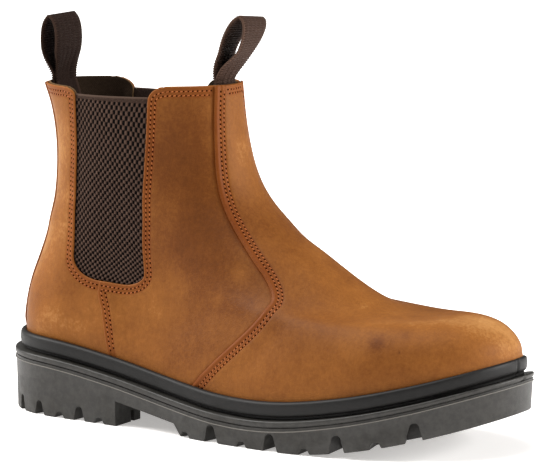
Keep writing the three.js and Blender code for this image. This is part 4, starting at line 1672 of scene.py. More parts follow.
@dataclass
class PullLoop:
    """A loop of ribbed webbing that stands up from the inside of the collar."""

    name: str
    angle: float
    lean: float
    twist: float
    webbing: bpy.types.Material
    rows: Rows
    width: float = 25.0
    thickness: float = 1.5
    rise: float = 36.0
    loop_width: float = 13.5
    neck: float = 4.0
    tab: float = 15.0
    roll: float = 0.0
    pinch: float = 0.24
    rib_pitch: float = 1.3
    rib_length: float = 4.3

    def place(self, across: Array, out: Array, up: Array) -> Array:
        """Finds points of the webbing.

        Args:
            across: Runs across the webbing.
            out: Distances out from the upper's general surface.
            up: Heights above the collar.

        Returns:
            The points.
        """
        across, out, up = np.broadcast_arrays(across, out, up)
        across = across * (1 - self.pinch * bell(up - 1.5, 9.0))
        turn = self._travel(across)
        rise = np.linalg.norm(LAST.point(0.98, turn) - LAST.point(0.96, turn), axis=-1) / 0.02
        below = np.minimum(up, 0)
        low = LAST.skin(1 + below / rise, turn, out)
        free = np.maximum(0, up - 2 * self.thickness)
        tilt = self.lean * (free / self.rise) ** 1.2
        curved = LAST.skin(np.ones_like(up), turn, out + tilt)
        curved[..., 2] += up
        ease = smooth(0.0, 4 * self.neck, free)
        fade = 1 - 1.15 * np.clip(free / self.rise, 0, 1) ** 1.5
        facing = self.angle + math.radians(self.twist) * ease * fade
        outward = np.stack([np.cos(facing), np.sin(facing), np.zeros_like(facing)], -1)
        along = np.stack([-outward[..., 1], outward[..., 0], np.zeros_like(facing)], -1)
        flat = LAST.point(1.0, self.angle) + outward * (out + tilt)[..., None] + along * across[..., None]
        flat[..., 2] += up + across * math.tan(math.radians(self.roll)) * free / self.rise
        high = lerp(curved, flat, ease[..., None])
        return np.where((up <= 0)[..., None], low, high)

    def _travel(self, across: Array) -> Array:
        """Returns the angle after a run round the collar from the loop's middle.

        Args:
            across: Runs across the webbing.

        Returns:
            The angles.
        """
        if self.angle == 0:
            inner = GIRTH[Side.INNER].angle(1.0, np.maximum(across, 0))
            outer = GIRTH[Side.OUTER].angle(1.0, np.maximum(-across, 0))
            return np.where(across >= 0, inner, outer)
        total = {side: float(GIRTH[side].total(1.0)) for side in Side}
        inner = GIRTH[Side.INNER].angle(1.0, total[Side.INNER] - np.maximum(-across, 0))
        outer = GIRTH[Side.OUTER].angle(1.0, total[Side.OUTER] - np.maximum(across, 0))
        return np.where(across <= 0, inner, 2 * math.pi + outer)

    def middle(self, count: int = 150) -> tuple[Array, Array]:
        """Returns the webbing's middle line in (out, up), from one tab over the top to the other.

        Args:
            count: Points from the collar to the top.

        Returns:
            The distances out and the heights.
        """
        half = self.loop_width / 2
        turn = np.linspace(0.02, math.pi, count)
        wide = half * np.sin(turn) * np.sin(turn / 2) ** 0.9
        out = np.maximum(wide - self.thickness / 2, self.thickness / 2 + 0.02)
        up = lerp(0.0, self.rise - self.thickness / 2, (1 - np.cos(turn)) / 2)
        out[-1] = 0.0
        out = np.concatenate([np.full(24, self.thickness / 2 + 0.02), out])
        up = np.concatenate([np.linspace(-self.tab, -0.4, 24), up])
        return np.concatenate([out, -out[::-1][1:]]), np.concatenate([up, up[::-1][1:]])

    def build(self) -> list[bpy.types.Object]:
        """Builds the webbing and its ribs.

        Returns:
            The pieces, in place of the loop's solid.
        """
        base_out = -2.8 - 0.3 - self.thickness
        out, up = self.middle()
        run = np.concatenate([[0], np.cumsum(np.hypot(np.diff(out), np.diff(up)))])
        stops = np.linspace(0, run[-1], 300)
        out, up = np.interp(stops, run, out), np.interp(stops, run, up)
        for _ in range(3):
            out[1:-1] = (out[:-2] + 2 * out[1:-1] + out[2:]) / 4
        way = unit(np.stack([np.gradient(out), np.gradient(up)], 1))
        side = np.stack([-way[:, 1], way[:, 0]], 1)
        half, thick = self.width / 2, self.thickness * 0.46
        turn = np.linspace(0, 2 * math.pi, 45)[:-1]
        ring_across = half * np.sign(np.cos(turn)) * np.abs(np.cos(turn)) ** 0.35
        ring_thick = thick * np.sign(np.sin(turn)) * np.abs(np.sin(turn)) ** 0.35
        selvedge = 0.12 * bell(np.abs(ring_across) - half + 1.4, 0.9)
        ring_thick = ring_thick * (1 + selvedge)
        across = np.broadcast_to(ring_across[None], (len(out), len(turn)))
        points_out = out[:, None] + side[:, :1] * ring_thick[None] + base_out
        points_up = up[:, None] + side[:, 1:] * ring_thick[None]
        grid = self.place(across, points_out, points_up)
        rows, columns = grid.shape[:2]
        ids = np.arange(rows * columns).reshape(rows, columns)
        wrap = np.concatenate([ids, ids[:, :1]], 1)
        corners = [wrap[:-1, :-1], wrap[1:, :-1], wrap[1:, 1:], wrap[:-1, 1:]]
        faces = np.stack(corners, -1).reshape(-1, 4).tolist()
        faces += [ids[0].tolist(), ids[-1][::-1].tolist()]
        # The edge mark lightens the selvedge, partly as a painted highlight.
        edge = smooth(half - 2.4, half - 1.5, np.abs(ring_across))[None]
        edge = np.broadcast_to(edge, across.shape).ravel()
        points = grid.reshape(-1, 3)
        faces = outward(points, faces)
        piece = add_piece(f"webbing_{self.name}", points, faces, self.webbing, {"edge": edge}, 60)
        pieces = [settle(piece, "webbing", self.name)]
        pieces.append(self._ribs(out, up, side, stops, base_out))
        return pieces

    def _ribs(self, out: Array, up: Array, side: Array, run: Array, base_out: float) -> bpy.types.Object:
        """Builds the fine ribs across both faces of the webbing, in short bars that follow its bend.

        Args:
            out: The middle line's distances out.
            up: Heights above the collar.
            side: Directions square to the middle line.
            run: Runs along the middle line.
            base_out: How far the loop's middle stands out.

        Returns:
            The ribs.
        """
        start = self.tab - 1.0
        stops = np.arange(start, run[-1] - start, self.rib_pitch)
        read = lambda values: np.interp(stops, run, values)
        points, ups, alongs = [], [], []
        for face in (1, -1):
            lift = face * self.thickness * 0.46
            o, u = read(out) + read(side[:, 0]) * lift + base_out, read(up) + read(side[:, 1]) * lift
            for across in (np.arange(5) - 2) * self.rib_length:
                here = self.place(np.full_like(o, across), o, u)
                left = self.place(np.full_like(o, across - 1.0), o, u)
                right = self.place(np.full_like(o, across + 1.0), o, u)
                along = unit(right - left)
                points.append(here)
                alongs.append(along)
                ups.append(unit(np.cross(along, unit(np.gradient(here, axis=0)))) * face)
        size = BeadSize(self.rib_length + 1.9, 0.8, 0.4, 0.0, 0.2)
        piece = self.rows.set(f"{self.name}_ribs", np.concatenate(points), np.concatenate(ups),
                              np.concatenate(alongs), Bead.BAR, size, self.webbing, 3)
        return settle(piece, "webbing")


def outward(points: Array, faces: list[list[int]]) -> list[list[int]]:
    """Returns the faces of a closed mesh, turned so that they point out.

    Args:
        points: Places in millimetres.
        faces: Its faces, all turned the same way.

    Returns:
        The faces.
    """
    volume = 0.0
    for face in faces:
        a = points[face[0]]
        for i in range(1, len(face) - 1):
            volume += float(np.dot(a, np.cross(points[face[i]], points[face[i + 1]])))
    return [face[::-1] for face in faces] if volume < 0 else faces


def loft(rows: list[Array]) -> tuple[Array, list[list[int]]]:
    """Joins closed rows into a closed skin with straight caps.

    Args:
        rows: The rows, each from the toe round.

    Returns:
        The points and faces.
    """
    count = len(rows[0])
    ids = np.arange(count * len(rows)).reshape(len(rows), count)
    wrap = np.concatenate([ids, ids[:, :1]], 1)
    corners = [wrap[:-1, :-1], wrap[:-1, 1:], wrap[1:, 1:], wrap[1:, :-1]]
    faces = np.stack(corners, -1).reshape(-1, 4).tolist()
    top = (len(rows) - 1) * count
    for c in range(count // 2):
        here, after = c, c + 1
        far, far_after = (count - c) % count, (count - c - 1) % count
        bottom = list(dict.fromkeys([here, far, far_after, after]))
        cap = list(dict.fromkeys([here, after, far_after, far]))
        if len(bottom) > 2:
            faces.append(bottom)
            faces.append([i + top for i in cap])
    points = np.concatenate(rows)
    return points, outward(points, faces)


# Sole and footbed


@dataclass(frozen=True)
class SoleProfile:
    """Sizes of the sole's side, in millimetres, and where they change along its length."""

    rand_height: float = 7.0
    rand_round: float = 2.0
    neck_height: float = 2.0
    neck_inset: float = 2.3
    fit_gap: float = 0.3
    upper_tuck: float = 5.0
    lip_depth: float = 3.2
    ledge_depth: float = 5.4
    lip_step: float = 0.6
    step_inset: float = 0.5
    side_batter: float = 0.8
    edge_bevel: float = 0.8
    toe_spring: float = 20.0
    spring_start: float = 0.66
    spring_power: float = 1.6
    waist: float = 12.7
    heel_front: float = 0.268
    tread_front: float = 0.405
    tread_slope: float = 5.0

    AT = (0.0, 0.35, 0.6, 0.8, 1.0)
    RAND = (1.0, 1.0, 1.0, 0.9, 0.65)
    DEPTH = (0.96, 1.0, 1.0, 0.88, 0.78)
    WIDTH = (1.1, 1.0, 1.0, 1.1, 1.35)

    def side(self, values: Sequence[float], at: Array) -> Array:
        """Returns a share along the sole."""
        return curve(self.AT, values, np.clip(at, 0, 1))

    def rand(self, at: Array) -> Array:
        """Returns how far the rand stands out."""
        return LAST.rand_overhang * self.side(self.RAND, at)

    def ledge(self, at: Array) -> Array:
        """Returns how far the outsole stands out."""
        return self.rand(at) + LAST.ledge_width * self.side(self.WIDTH, at)

    def ledge_top(self, at: Array) -> Array:
        """Returns the height of the outsole's ledge."""
        return LAST.feather(at) - self.rand_height - self.neck_height - self.fit_gap

    def ground(self, at: Array) -> Array:
        """Returns the height of the tread's underside."""
        share = np.maximum(0, (at - self.spring_start) / (1 - self.spring_start))
        return self.toe_spring * share**self.spring_power

    def rim(self, angle: Array, out: Callable, height: Callable) -> Array:
        """Finds points of the sole's edge.

        Args:
            angle: Angles round the plan.
            out: What gives the distance beyond the last.
            height: What gives the height at the point's own share and at the plan's.

        Returns:
            The points.
        """
        around = LAST.point(0.0, angle + 0.02) - LAST.point(0.0, angle - 0.02)
        normal = unit(np.stack([around[:, 1], -around[:, 0], np.zeros(len(around))], 1))
        foot = LAST.point(0.0, angle)
        at = LAST.share(foot[:, 0])
        point = foot + normal * np.broadcast_to(out(at), at.shape)[:, None]
        point[:, 2] = height(LAST.share(point[:, 0]), at)
        return point

    def edge_box(self) -> tuple[float, float]:
        """Returns the middle of the outsole's plan."""
        edge = self.rim(np.linspace(0, 2 * math.pi, 69)[:-1], self.ledge, lambda here, at: at * 0)
        return tuple((edge.min(0) + edge.max(0))[:2] / 2)


SOLE_PROFILE = SoleProfile()


@dataclass
class Sole:
    """The rubber under the upper: a rand with its neck, and the lugged outsole with its moulded side."""

    outsole: bpy.types.Material
    rand: bpy.types.Material
    columns: int = 420
    rand_drop: float = 7.7
    ledge_soft: float = 0.9
    lug_start: float = 0.496
    lug_pitch: float = 36.6
    nick_back: float = 0.475
    heel_start: float = 0.094
    heel_pitch: float = 26.0
    heel_corner: float = 0.86
    reach: float = 22.0
    notch_width: float = 9.0
    notch_depth: float = 9.5
    nick_width: float = 6.6
    nick_depth: float = 3.2
    taper: float = 0.58
    channel_width: float = 5.0
    channel_depth: float = 4.5
    chevron_lean: float = 8.0
    mould_half: float = 0.032
    mould_width: float = 0.01
    slot_inner: float = 24.5
    slot_outer: float = 27.5
    slot_height: float = 6.0

    def _angles(self) -> Array:
        """Returns the angles of the sole's columns, close together at the toe's mould line.

        Returns:
            The angles.
        """
        half = np.linspace(0, math.pi, self.columns // 2 + 1)
        half = np.concatenate([np.linspace(0, 0.028, 8), half[half > self.mould_half]])
        return np.concatenate([half, 2 * math.pi - half[::-1][1:-1]])

    def _mould(self, angles: Array) -> Array:
        """Returns the depth of the mould's joint at the sole's columns."""
        return bell(np.minimum(angles, 2 * math.pi - angles), self.mould_width)

    def build(self) -> list[bpy.types.Object]:
        """Builds the rand and the outsole.

        Returns:
            The pieces, in place of their solids.
        """
        return [self._rand(), self._outsole()]

    def _rand(self) -> bpy.types.Object:
        """Builds the rand, its neck and the well that the upper stands in.

        Returns:
            The rand, in place of its solid.
        """
        p = SOLE_PROFILE
        angles = self._angles()
        joint = self._mould(angles)
        edge = [(p.neck_inset, p.rand_height + p.neck_height), (p.neck_inset, self.rand_drop + 0.2)]
        for v in np.linspace(1, -1, 17):
            edge.append((1.5 * (1 - math.sqrt(1 - abs(v) ** 3)), self.rand_drop * (1 + v) / 2))
        edge.append((p.rand_round + 0.9, 0.0))
        rows = [
            p.rim(
                angles,
                lambda at, inset=inset: np.maximum(p.rand(at) - inset, p.fit_gap + 0.02 * (16 - i)) - joint,
                lambda here, at, drop=drop: LAST.feather(here) - drop,
            )
            for i, (inset, drop) in enumerate(edge)
        ]
        for inset, drop in ((p.fit_gap, 0.1), (p.fit_gap, p.upper_tuck + p.fit_gap)):
            rows.append(p.rim(angles, lambda at, inset=inset: at * 0 + inset,
                              lambda here, at, drop=drop: LAST.feather(here) - drop))
        points, faces = loft(rows)
        piece = add_piece("rand", points, faces, self.rand, {"edge": np.zeros(len(points))}, 60)
        return settle(piece, "rand_rubber", "midsole")

    def _outsole(self) -> bpy.types.Object:
        """Builds the outsole with its lip, moulding line and tread.

        Returns:
            The outsole, in place of its solid.
        """
        p = SOLE_PROFILE
        angles = self._angles()
        depth = lambda at: p.side(p.DEPTH, at)
        line = lambda here, at=None: p.ledge_top(here) - p.ledge_depth * depth(here)
        lip = lambda here, at=None: p.ledge_top(here) - p.lip_depth * depth(here)
        foot = p.step_inset + p.side_batter
        joint = self._mould(angles)
        row = lambda inset, height, gap=0.0: p.rim(angles, lambda at: p.ledge(at) - inset - gap, height)
        rows = [
            row(foot + p.edge_bevel, lambda here, at: p.ground(here)),
            row(foot + 0.25, lambda here, at: p.ground(here) + 0.25),
            row(foot, lambda here, at: p.ground(here) + p.edge_bevel),
            row(foot - 0.3, lambda here, at: lerp(p.ground(here), line(here), 0.5)),
            row(p.step_inset + 0.1, lambda here, at: line(here) - 0.55),
            row(p.step_inset, lambda here, at: line(here) - 0.35),
            row(0.0, lambda here, at: line(here) - 0.2),
            row(0.0, lambda here, at: line(here) + 0.15),
            row(p.lip_step * 0.7, lambda here, at: line(here) + 0.35),
            row(p.lip_step * 0.8, lambda here, at: lip(here) - 0.5),
            row(p.lip_step * 1.9, lambda here, at: lip(here) - 0.3),
            row(p.lip_step * 1.9, lambda here, at: lip(here) + 0.1, joint),
            row(0.3, lambda here, at: lip(here) + 0.3, joint),
            row(0.05, lambda here, at: lip(here) + 0.9, joint),
            row(0.0, lambda here, at: p.ledge_top(here) - self.ledge_soft, joint),
        ]
        flash = range(6, 8)
        for turn in np.linspace(0.25, 1.0, 5) * math.pi / 2:
            inset = self.ledge_soft * (1 - math.cos(turn))
            drop = self.ledge_soft * (1 - math.sin(turn))
            rows.append(row(inset, lambda here, at, drop=drop: p.ledge_top(here) - drop, joint))
        points, faces = loft(rows)
        pale = np.zeros((len(rows), len(angles)))
        pale[flash] = 1
        piece = add_piece("outsole_lugged", points, faces, self.outsole, {"edge": pale.ravel()}, 30)
        for cutter in self._cutters():
            self._cut(piece, cutter)
        self._shade(piece)
        return settle(piece, "outsole_rubber", "outsole")

    def _prism(self, profile: Array, axis: str, low: float, high: float) -> tuple[Array, list[list[int]]]:
        """Makes a straight bar from a closed profile.

        Args:
            profile: Points of X and Z for a bar along Y, or of X and Y for an upright one.
            axis: "Y" or "Z".
            low: Where the bar starts.
            high: Where it ends.

        Returns:
            The points and faces.
        """
        profile = np.asarray(profile, float)
        count = len(profile)
        ends = []
        for level in (low, high):
            flat = np.full(count, level)
            first, second = profile.T
            order = (first, flat, second) if axis == "Y" else (first, second, flat)
            ends.append(np.stack(order, 1))
        points = np.concatenate(ends)
        faces = [[i, (i + 1) % count, (i + 1) % count + count, i + count] for i in range(count)]
        faces += [list(range(count))[::-1], list(range(count, 2 * count))]
        return points, outward(points - points.mean(0), faces)

    def _notch(self, angle: float, width: float, depth: float) -> tuple[Array, list[list[int]]]:
        """Makes the bar of a gap between lugs, square to the sole's edge.

        Args:
            angle: Its angle round the sole.
            width: Its width.
            depth: Its depth.

        Returns:
            The points and faces.
        """
        p = SOLE_PROFILE
        ground = lambda here, at: p.ground(here)
        foot = p.rim(np.array([angle]), p.ledge, ground)[0]
        inner = p.rim(np.array([angle]), lambda at: p.ledge(at) - self.reach, ground)[0]
        crown = width * self.taper / 2
        low = inner[2] - foot[2] - 6 if foot[2] > inner[2] else -6.0
        if depth < 2 * crown:
            top = [(-crown, depth - 0.5), (-crown + 0.5, depth), (crown - 0.5, depth), (crown, depth - 0.5)]
        else:
            turns = np.linspace(math.pi, 0, 13)
            top = [(crown * math.cos(t), depth - crown + crown * math.sin(t)) for t in turns]
        profile = [(-width / 2, low), (-width / 2, 0), *top, (width / 2, 0), (width / 2, low)]
        points, faces = self._prism(profile, "Y", -self.reach, self.reach)
        facing = math.atan2(foot[1] - inner[1], foot[0] - inner[0]) - math.pi / 2
        turned = points @ np.array(Matrix.Rotation(facing, 3, "Z")).T + foot
        return turned, faces

    def _cutters(self) -> list[tuple[Array, list[list[int]]]]:
        """Returns what is cut from the outsole: the waist, the heel's hollow, notches and channels.

        Returns:
            The points and faces of each bar.
        """
        p = SOLE_PROFILE
        under = lambda at: LAST.feather(at) - p.rand_height - p.neck_height - p.waist
        start, end = LAST.place(p.heel_front), LAST.place(p.tread_front) + p.tread_slope
        arch = [(LAST.place(at), float(under(at))) for at in np.linspace(p.heel_front, p.tread_front, 25)]
        cutters = [self._prism([(start, -5), *arch, (end, 0), (end, -5)], "Y", -108, 108)]
        front, half = start + 1, 19.0
        back = start - 11.0
        plan = [(back, -half * 0.6), (front, -half), (front, half), (back, half * 0.6)]
        cutters.append(self._prism(plan, "Z", -5, float(under(p.heel_front))))
        for side in (-1, 1):
            near, far = self.slot_inner * side, self.slot_outer * side
            slot = [(start - 7, near), (start + 1, near), (start + 1, far), (start - 7, far)]
            cutters.append(self._prism(slot[::side], "Z", -5, self.slot_height))
        angle = lambda at: math.acos(min(max(2 * at - 1, -1), 1))
        gaps = []
        for i in range(4):
            at = self.lug_start + i * self.lug_pitch / LAST.length
            gaps.append((angle(at), self.notch_width, self.notch_depth))
            fine = at - self.nick_back * self.lug_pitch / LAST.length
            gaps.append((angle(fine), self.nick_width, self.nick_depth))
            if i < 3:
                cutters.append(self._chevron(at, self.channel_width, self.channel_depth, 0.5))
                cutters.append(self._chevron(fine, 2.2, 2.0, 0.62))
        for i in range(2):
            at = self.heel_start + i * self.heel_pitch / LAST.length
            gaps.append((angle(at), self.notch_width * 0.82, self.notch_depth * 0.82))
            gaps.append((angle(at + 0.5 * self.heel_pitch / LAST.length), self.nick_width, self.nick_depth))
        gaps.append((math.pi * self.heel_corner, self.notch_width * 0.7, self.notch_depth * 0.9))
        for turn, width, depth in gaps:
            cutters += [self._notch(turn, width, depth), self._notch(-turn, width, depth)]
        return cutters

    def _chevron(
        self, at: float, width: float, depth: float, inset: float,
    ) -> tuple[Array, list[list[int]]]:
        """Makes the bar of a channel across the tread that points to the toe.

        Args:
            at: Its share of the sole's length.
            width: Its width.
            depth: Its depth.
            inset: Its distance from the edge, as a share of the reach.

        Returns:
            The points and faces.
        """
        half = float(LAST.half_width(at)) - self.reach * inset
        middle = float(LAST.centre(at))
        x, wide, lean = float(LAST.place(at)), width / 2, self.chevron_lean
        plan = [(x - wide, middle - half), (x + wide, middle - half), (x + wide + lean, middle),
                (x + wide, middle + half), (x - wide, middle + half), (x - wide + lean, middle)]
        return self._prism(plan, "Z", -8, float(SOLE_PROFILE.ground(at)) + depth)

    def _cut(self, piece: bpy.types.Object, cutter: tuple[Array, list[list[int]]]) -> None:
        """Cuts a bar from the piece.

        Args:
            piece: The piece.
            cutter: The bar's points and faces.
        """
        mesh = bpy.data.meshes.new("cutter")
        mesh.from_pydata(to_row(cutter[0]).tolist(), [], cutter[1])
        tool = bpy.data.objects.new("cutter", mesh)
        bpy.context.scene.collection.objects.link(tool)
        modifier = piece.modifiers.new("cut", "BOOLEAN")
        modifier.operation, modifier.object, modifier.solver = "DIFFERENCE", tool, "MANIFOLD"
        graph = bpy.context.evaluated_depsgraph_get()
        cut = bpy.data.meshes.new_from_object(piece.evaluated_get(graph), depsgraph=graph)
        piece.modifiers.clear()
        piece.data = cut
        bpy.data.objects.remove(tool)

    def _shade(self, piece: bpy.types.Object) -> None:
        """Shades the piece smooth, with the tread's edges kept sharp."""
        piece.data.shade_smooth()
        piece.data.set_sharp_from_angle(angle=math.radians(28))


@dataclass
class Footbed:
    """The padded sheet that the foot stands on, with a low rim round its edge."""

    fabric: bpy.types.Material
    inset: float = 3.6
    thickness: float = 4.0

    def build(self) -> bpy.types.Object:
        """Builds the footbed.

        Returns:
            The footbed, in place of its solid.
        """
        angles = np.linspace(0, 2 * math.pi, 241)[:-1]
        top = lambda inset, drop: SOLE_PROFILE.rim(
            angles, lambda at: at * 0 - inset, lambda here, at: LAST.feather(here) - drop)
        base = 5.0
        rows = [top(self.inset, base), top(self.inset, base - self.thickness * 0.6)]
        for turn in np.linspace(0.2, 1.0, 5) * math.pi / 2:
            rows.append(top(self.inset + 1.2 * (1 - math.cos(turn)),
                            base - self.thickness * 0.6 - self.thickness * 0.4 * math.sin(turn)))
        for inset, dip in ((7.0, 0.1), (12.0, 0.7), (18.0, 1.1), (25.0, 1.3)):
            rows.append(top(inset, base - self.thickness + dip))
        points, faces = loft(rows)
        piece = add_piece("footbed", points, faces, self.fabric, {"edge": np.zeros(len(points))}, 60)
        return settle(piece, "footbed", "insole")


# Finishes


def srgb(red: int, green: int, blue: int) -> tuple[float, float, float, float]:
    """Returns a screen colour as the shader's own values."""
    line = lambda c: c / 12.92 if c <= 0.04045 else ((c + 0.055) / 1.055) ** 2.4
    return (*(line(c / 255) for c in (red, green, blue)), 1.0)


@dataclass
class Nodes:
    """Short ways to add shader nodes to a tree."""

    tree: bpy.types.NodeTree

    def add(self, kind: str, **settings: object) -> bpy.types.Node:
        """Adds a node with its settings.

        Args:
            kind: The node's type.
            settings: The node's settings by name.

        Returns:
            The node.
        """
        node = self.tree.nodes.new(kind)
        for key, value in settings.items():
            setattr(node, key, value)
        return node

    def put(self, socket: bpy.types.NodeSocket, value: object) -> None:
        """Links a socket into an input, or sets the input to a number or colour."""
        if isinstance(value, bpy.types.NodeSocket):
            self.tree.links.new(value, socket)
        else:
            socket.default_value = value

    def math(
        self, operation: str, first: object, second: object = 0.0, clamp: bool = False,
    ) -> bpy.types.NodeSocket:
        """Adds a sum of two values.

        Args:
            operation: What is done with the values.
            first: The first input.
            second: The second input.
            clamp: Whether the result stays between 0 and 1.

        Returns:
            The socket that carries the result.
        """
        node = self.add("ShaderNodeMath", operation=operation, use_clamp=clamp)
        self.put(node.inputs[0], first)
        self.put(node.inputs[1], second)
        return node.outputs[0]

    def noise(self, place: object, scale: float, detail: float = 4.0, rough: float = 0.55,
              bend: float = 0.0) -> bpy.types.NodeSocket:
        """Adds a noise, with its scale in features a metre.

        Args:
            place: Where it is read.
            scale: Its scale.
            detail: How many finer layers it has.
            rough: How strong the finer layers are.
            bend: How much it is warped.

        Returns:
            The socket that carries the result.
        """
        node = self.add("ShaderNodeTexNoise")
        self.put(node.inputs["Vector"], place)
        given = {"Scale": scale, "Detail": detail, "Roughness": rough, "Distortion": bend}
        for name, value in given.items():
            node.inputs[name].default_value = value
        return node.outputs[0]

    def cells(self, place: object, scale: float) -> bpy.types.NodeSocket:
        """Adds the distances to the edges of cells, with their scale in cells a metre.

        Args:
            place: Where it is read.
            scale: Its scale.

        Returns:
            The socket that carries the result.
        """
        node = self.add("ShaderNodeTexVoronoi", feature="DISTANCE_TO_EDGE")
        self.put(node.inputs["Vector"], place)
        node.inputs["Scale"].default_value = scale
        return node.outputs["Distance"]

    def span(
        self, value: object, low: float, high: float, to_low: float = 0.0, to_high: float = 1.0,
    ) -> bpy.types.NodeSocket:
        """Maps a span of values to another, with soft ends.

        Args:
            value: The value.
            low: The span's low end.
            high: The span's high end.
            to_low: What the low end becomes.
            to_high: What the high end becomes.

        Returns:
            The socket that carries the result.
        """
        node = self.add("ShaderNodeMapRange", interpolation_type="SMOOTHSTEP")
        self.put(node.inputs["Value"], value)
        given = {"From Min": low, "From Max": high, "To Min": to_low, "To Max": to_high}
        for name, number in given.items():
            node.inputs[name].default_value = number
        return node.outputs[0]

    def ramp(self, value: object, stops: Sequence[tuple[float, tuple]]) -> bpy.types.NodeSocket:
        """Adds a colour ramp.

        Args:
            value: The value.
            stops: The place and colour of each stop.

        Returns:
            The socket that carries the result.
        """
        node = self.add("ShaderNodeValToRGB")
        self.put(node.inputs[0], value)
        bar = node.color_ramp.elements
        while len(bar) < len(stops):
            bar.new(0.5)
        for element, (place, colour) in zip(bar, stops):
            element.position, element.color = place, colour
        return node.outputs[0]

    def mix(self, share: object, first: object, second: object, blend: str = "MIX") -> bpy.types.NodeSocket:
        """Mixes two colours.

        Args:
            share: How much of the second shows.
            first: The first input.
            second: The second input.
            blend: How they are mixed.

        Returns:
            The socket that carries the result.
        """
        node = self.add("ShaderNodeMix", data_type="RGBA", blend_type=blend)
        self.put(node.inputs[0], share)
        self.put(node.inputs[6], first)
        self.put(node.inputs[7], second)
        return node.outputs[2]

    def mark(self, name: str) -> bpy.types.NodeSocket:
        """Reads a value that the mesh carries."""
        return self.add("ShaderNodeAttribute", attribute_name=name).outputs["Fac"]

    def place(self) -> bpy.types.NodeSocket:
        """Returns the place on the piece in metres."""
        return self.add("ShaderNodeTexCoord").outputs["Object"]

    def effect(self, group: bpy.types.NodeTree, **given: object) -> bpy.types.Node:
        """Adds a shared effect with its inputs.

        Args:
            group: The effect's tree.
            given: The effect's inputs by name.

        Returns:
            The node.
        """
        node = self.add("ShaderNodeGroup", node_tree=group)
        for key, value in given.items():
            self.put(node.inputs[key.replace("_", " ").title()], value)
        return node

    def bump(self, height: object, strength: float, distance: float) -> bpy.types.NodeSocket:
        """Adds a bump.

        Args:
            height: The height that is read.
            strength: How strong the bump is.
            distance: The distance from the line.

        Returns:
            The socket that carries the normal.
        """
        node = self.add("ShaderNodeBump")
        self.put(node.inputs["Height"], height)
        node.inputs["Strength"].default_value = strength
        node.inputs["Distance"].default_value = distance
        return node.outputs[0]


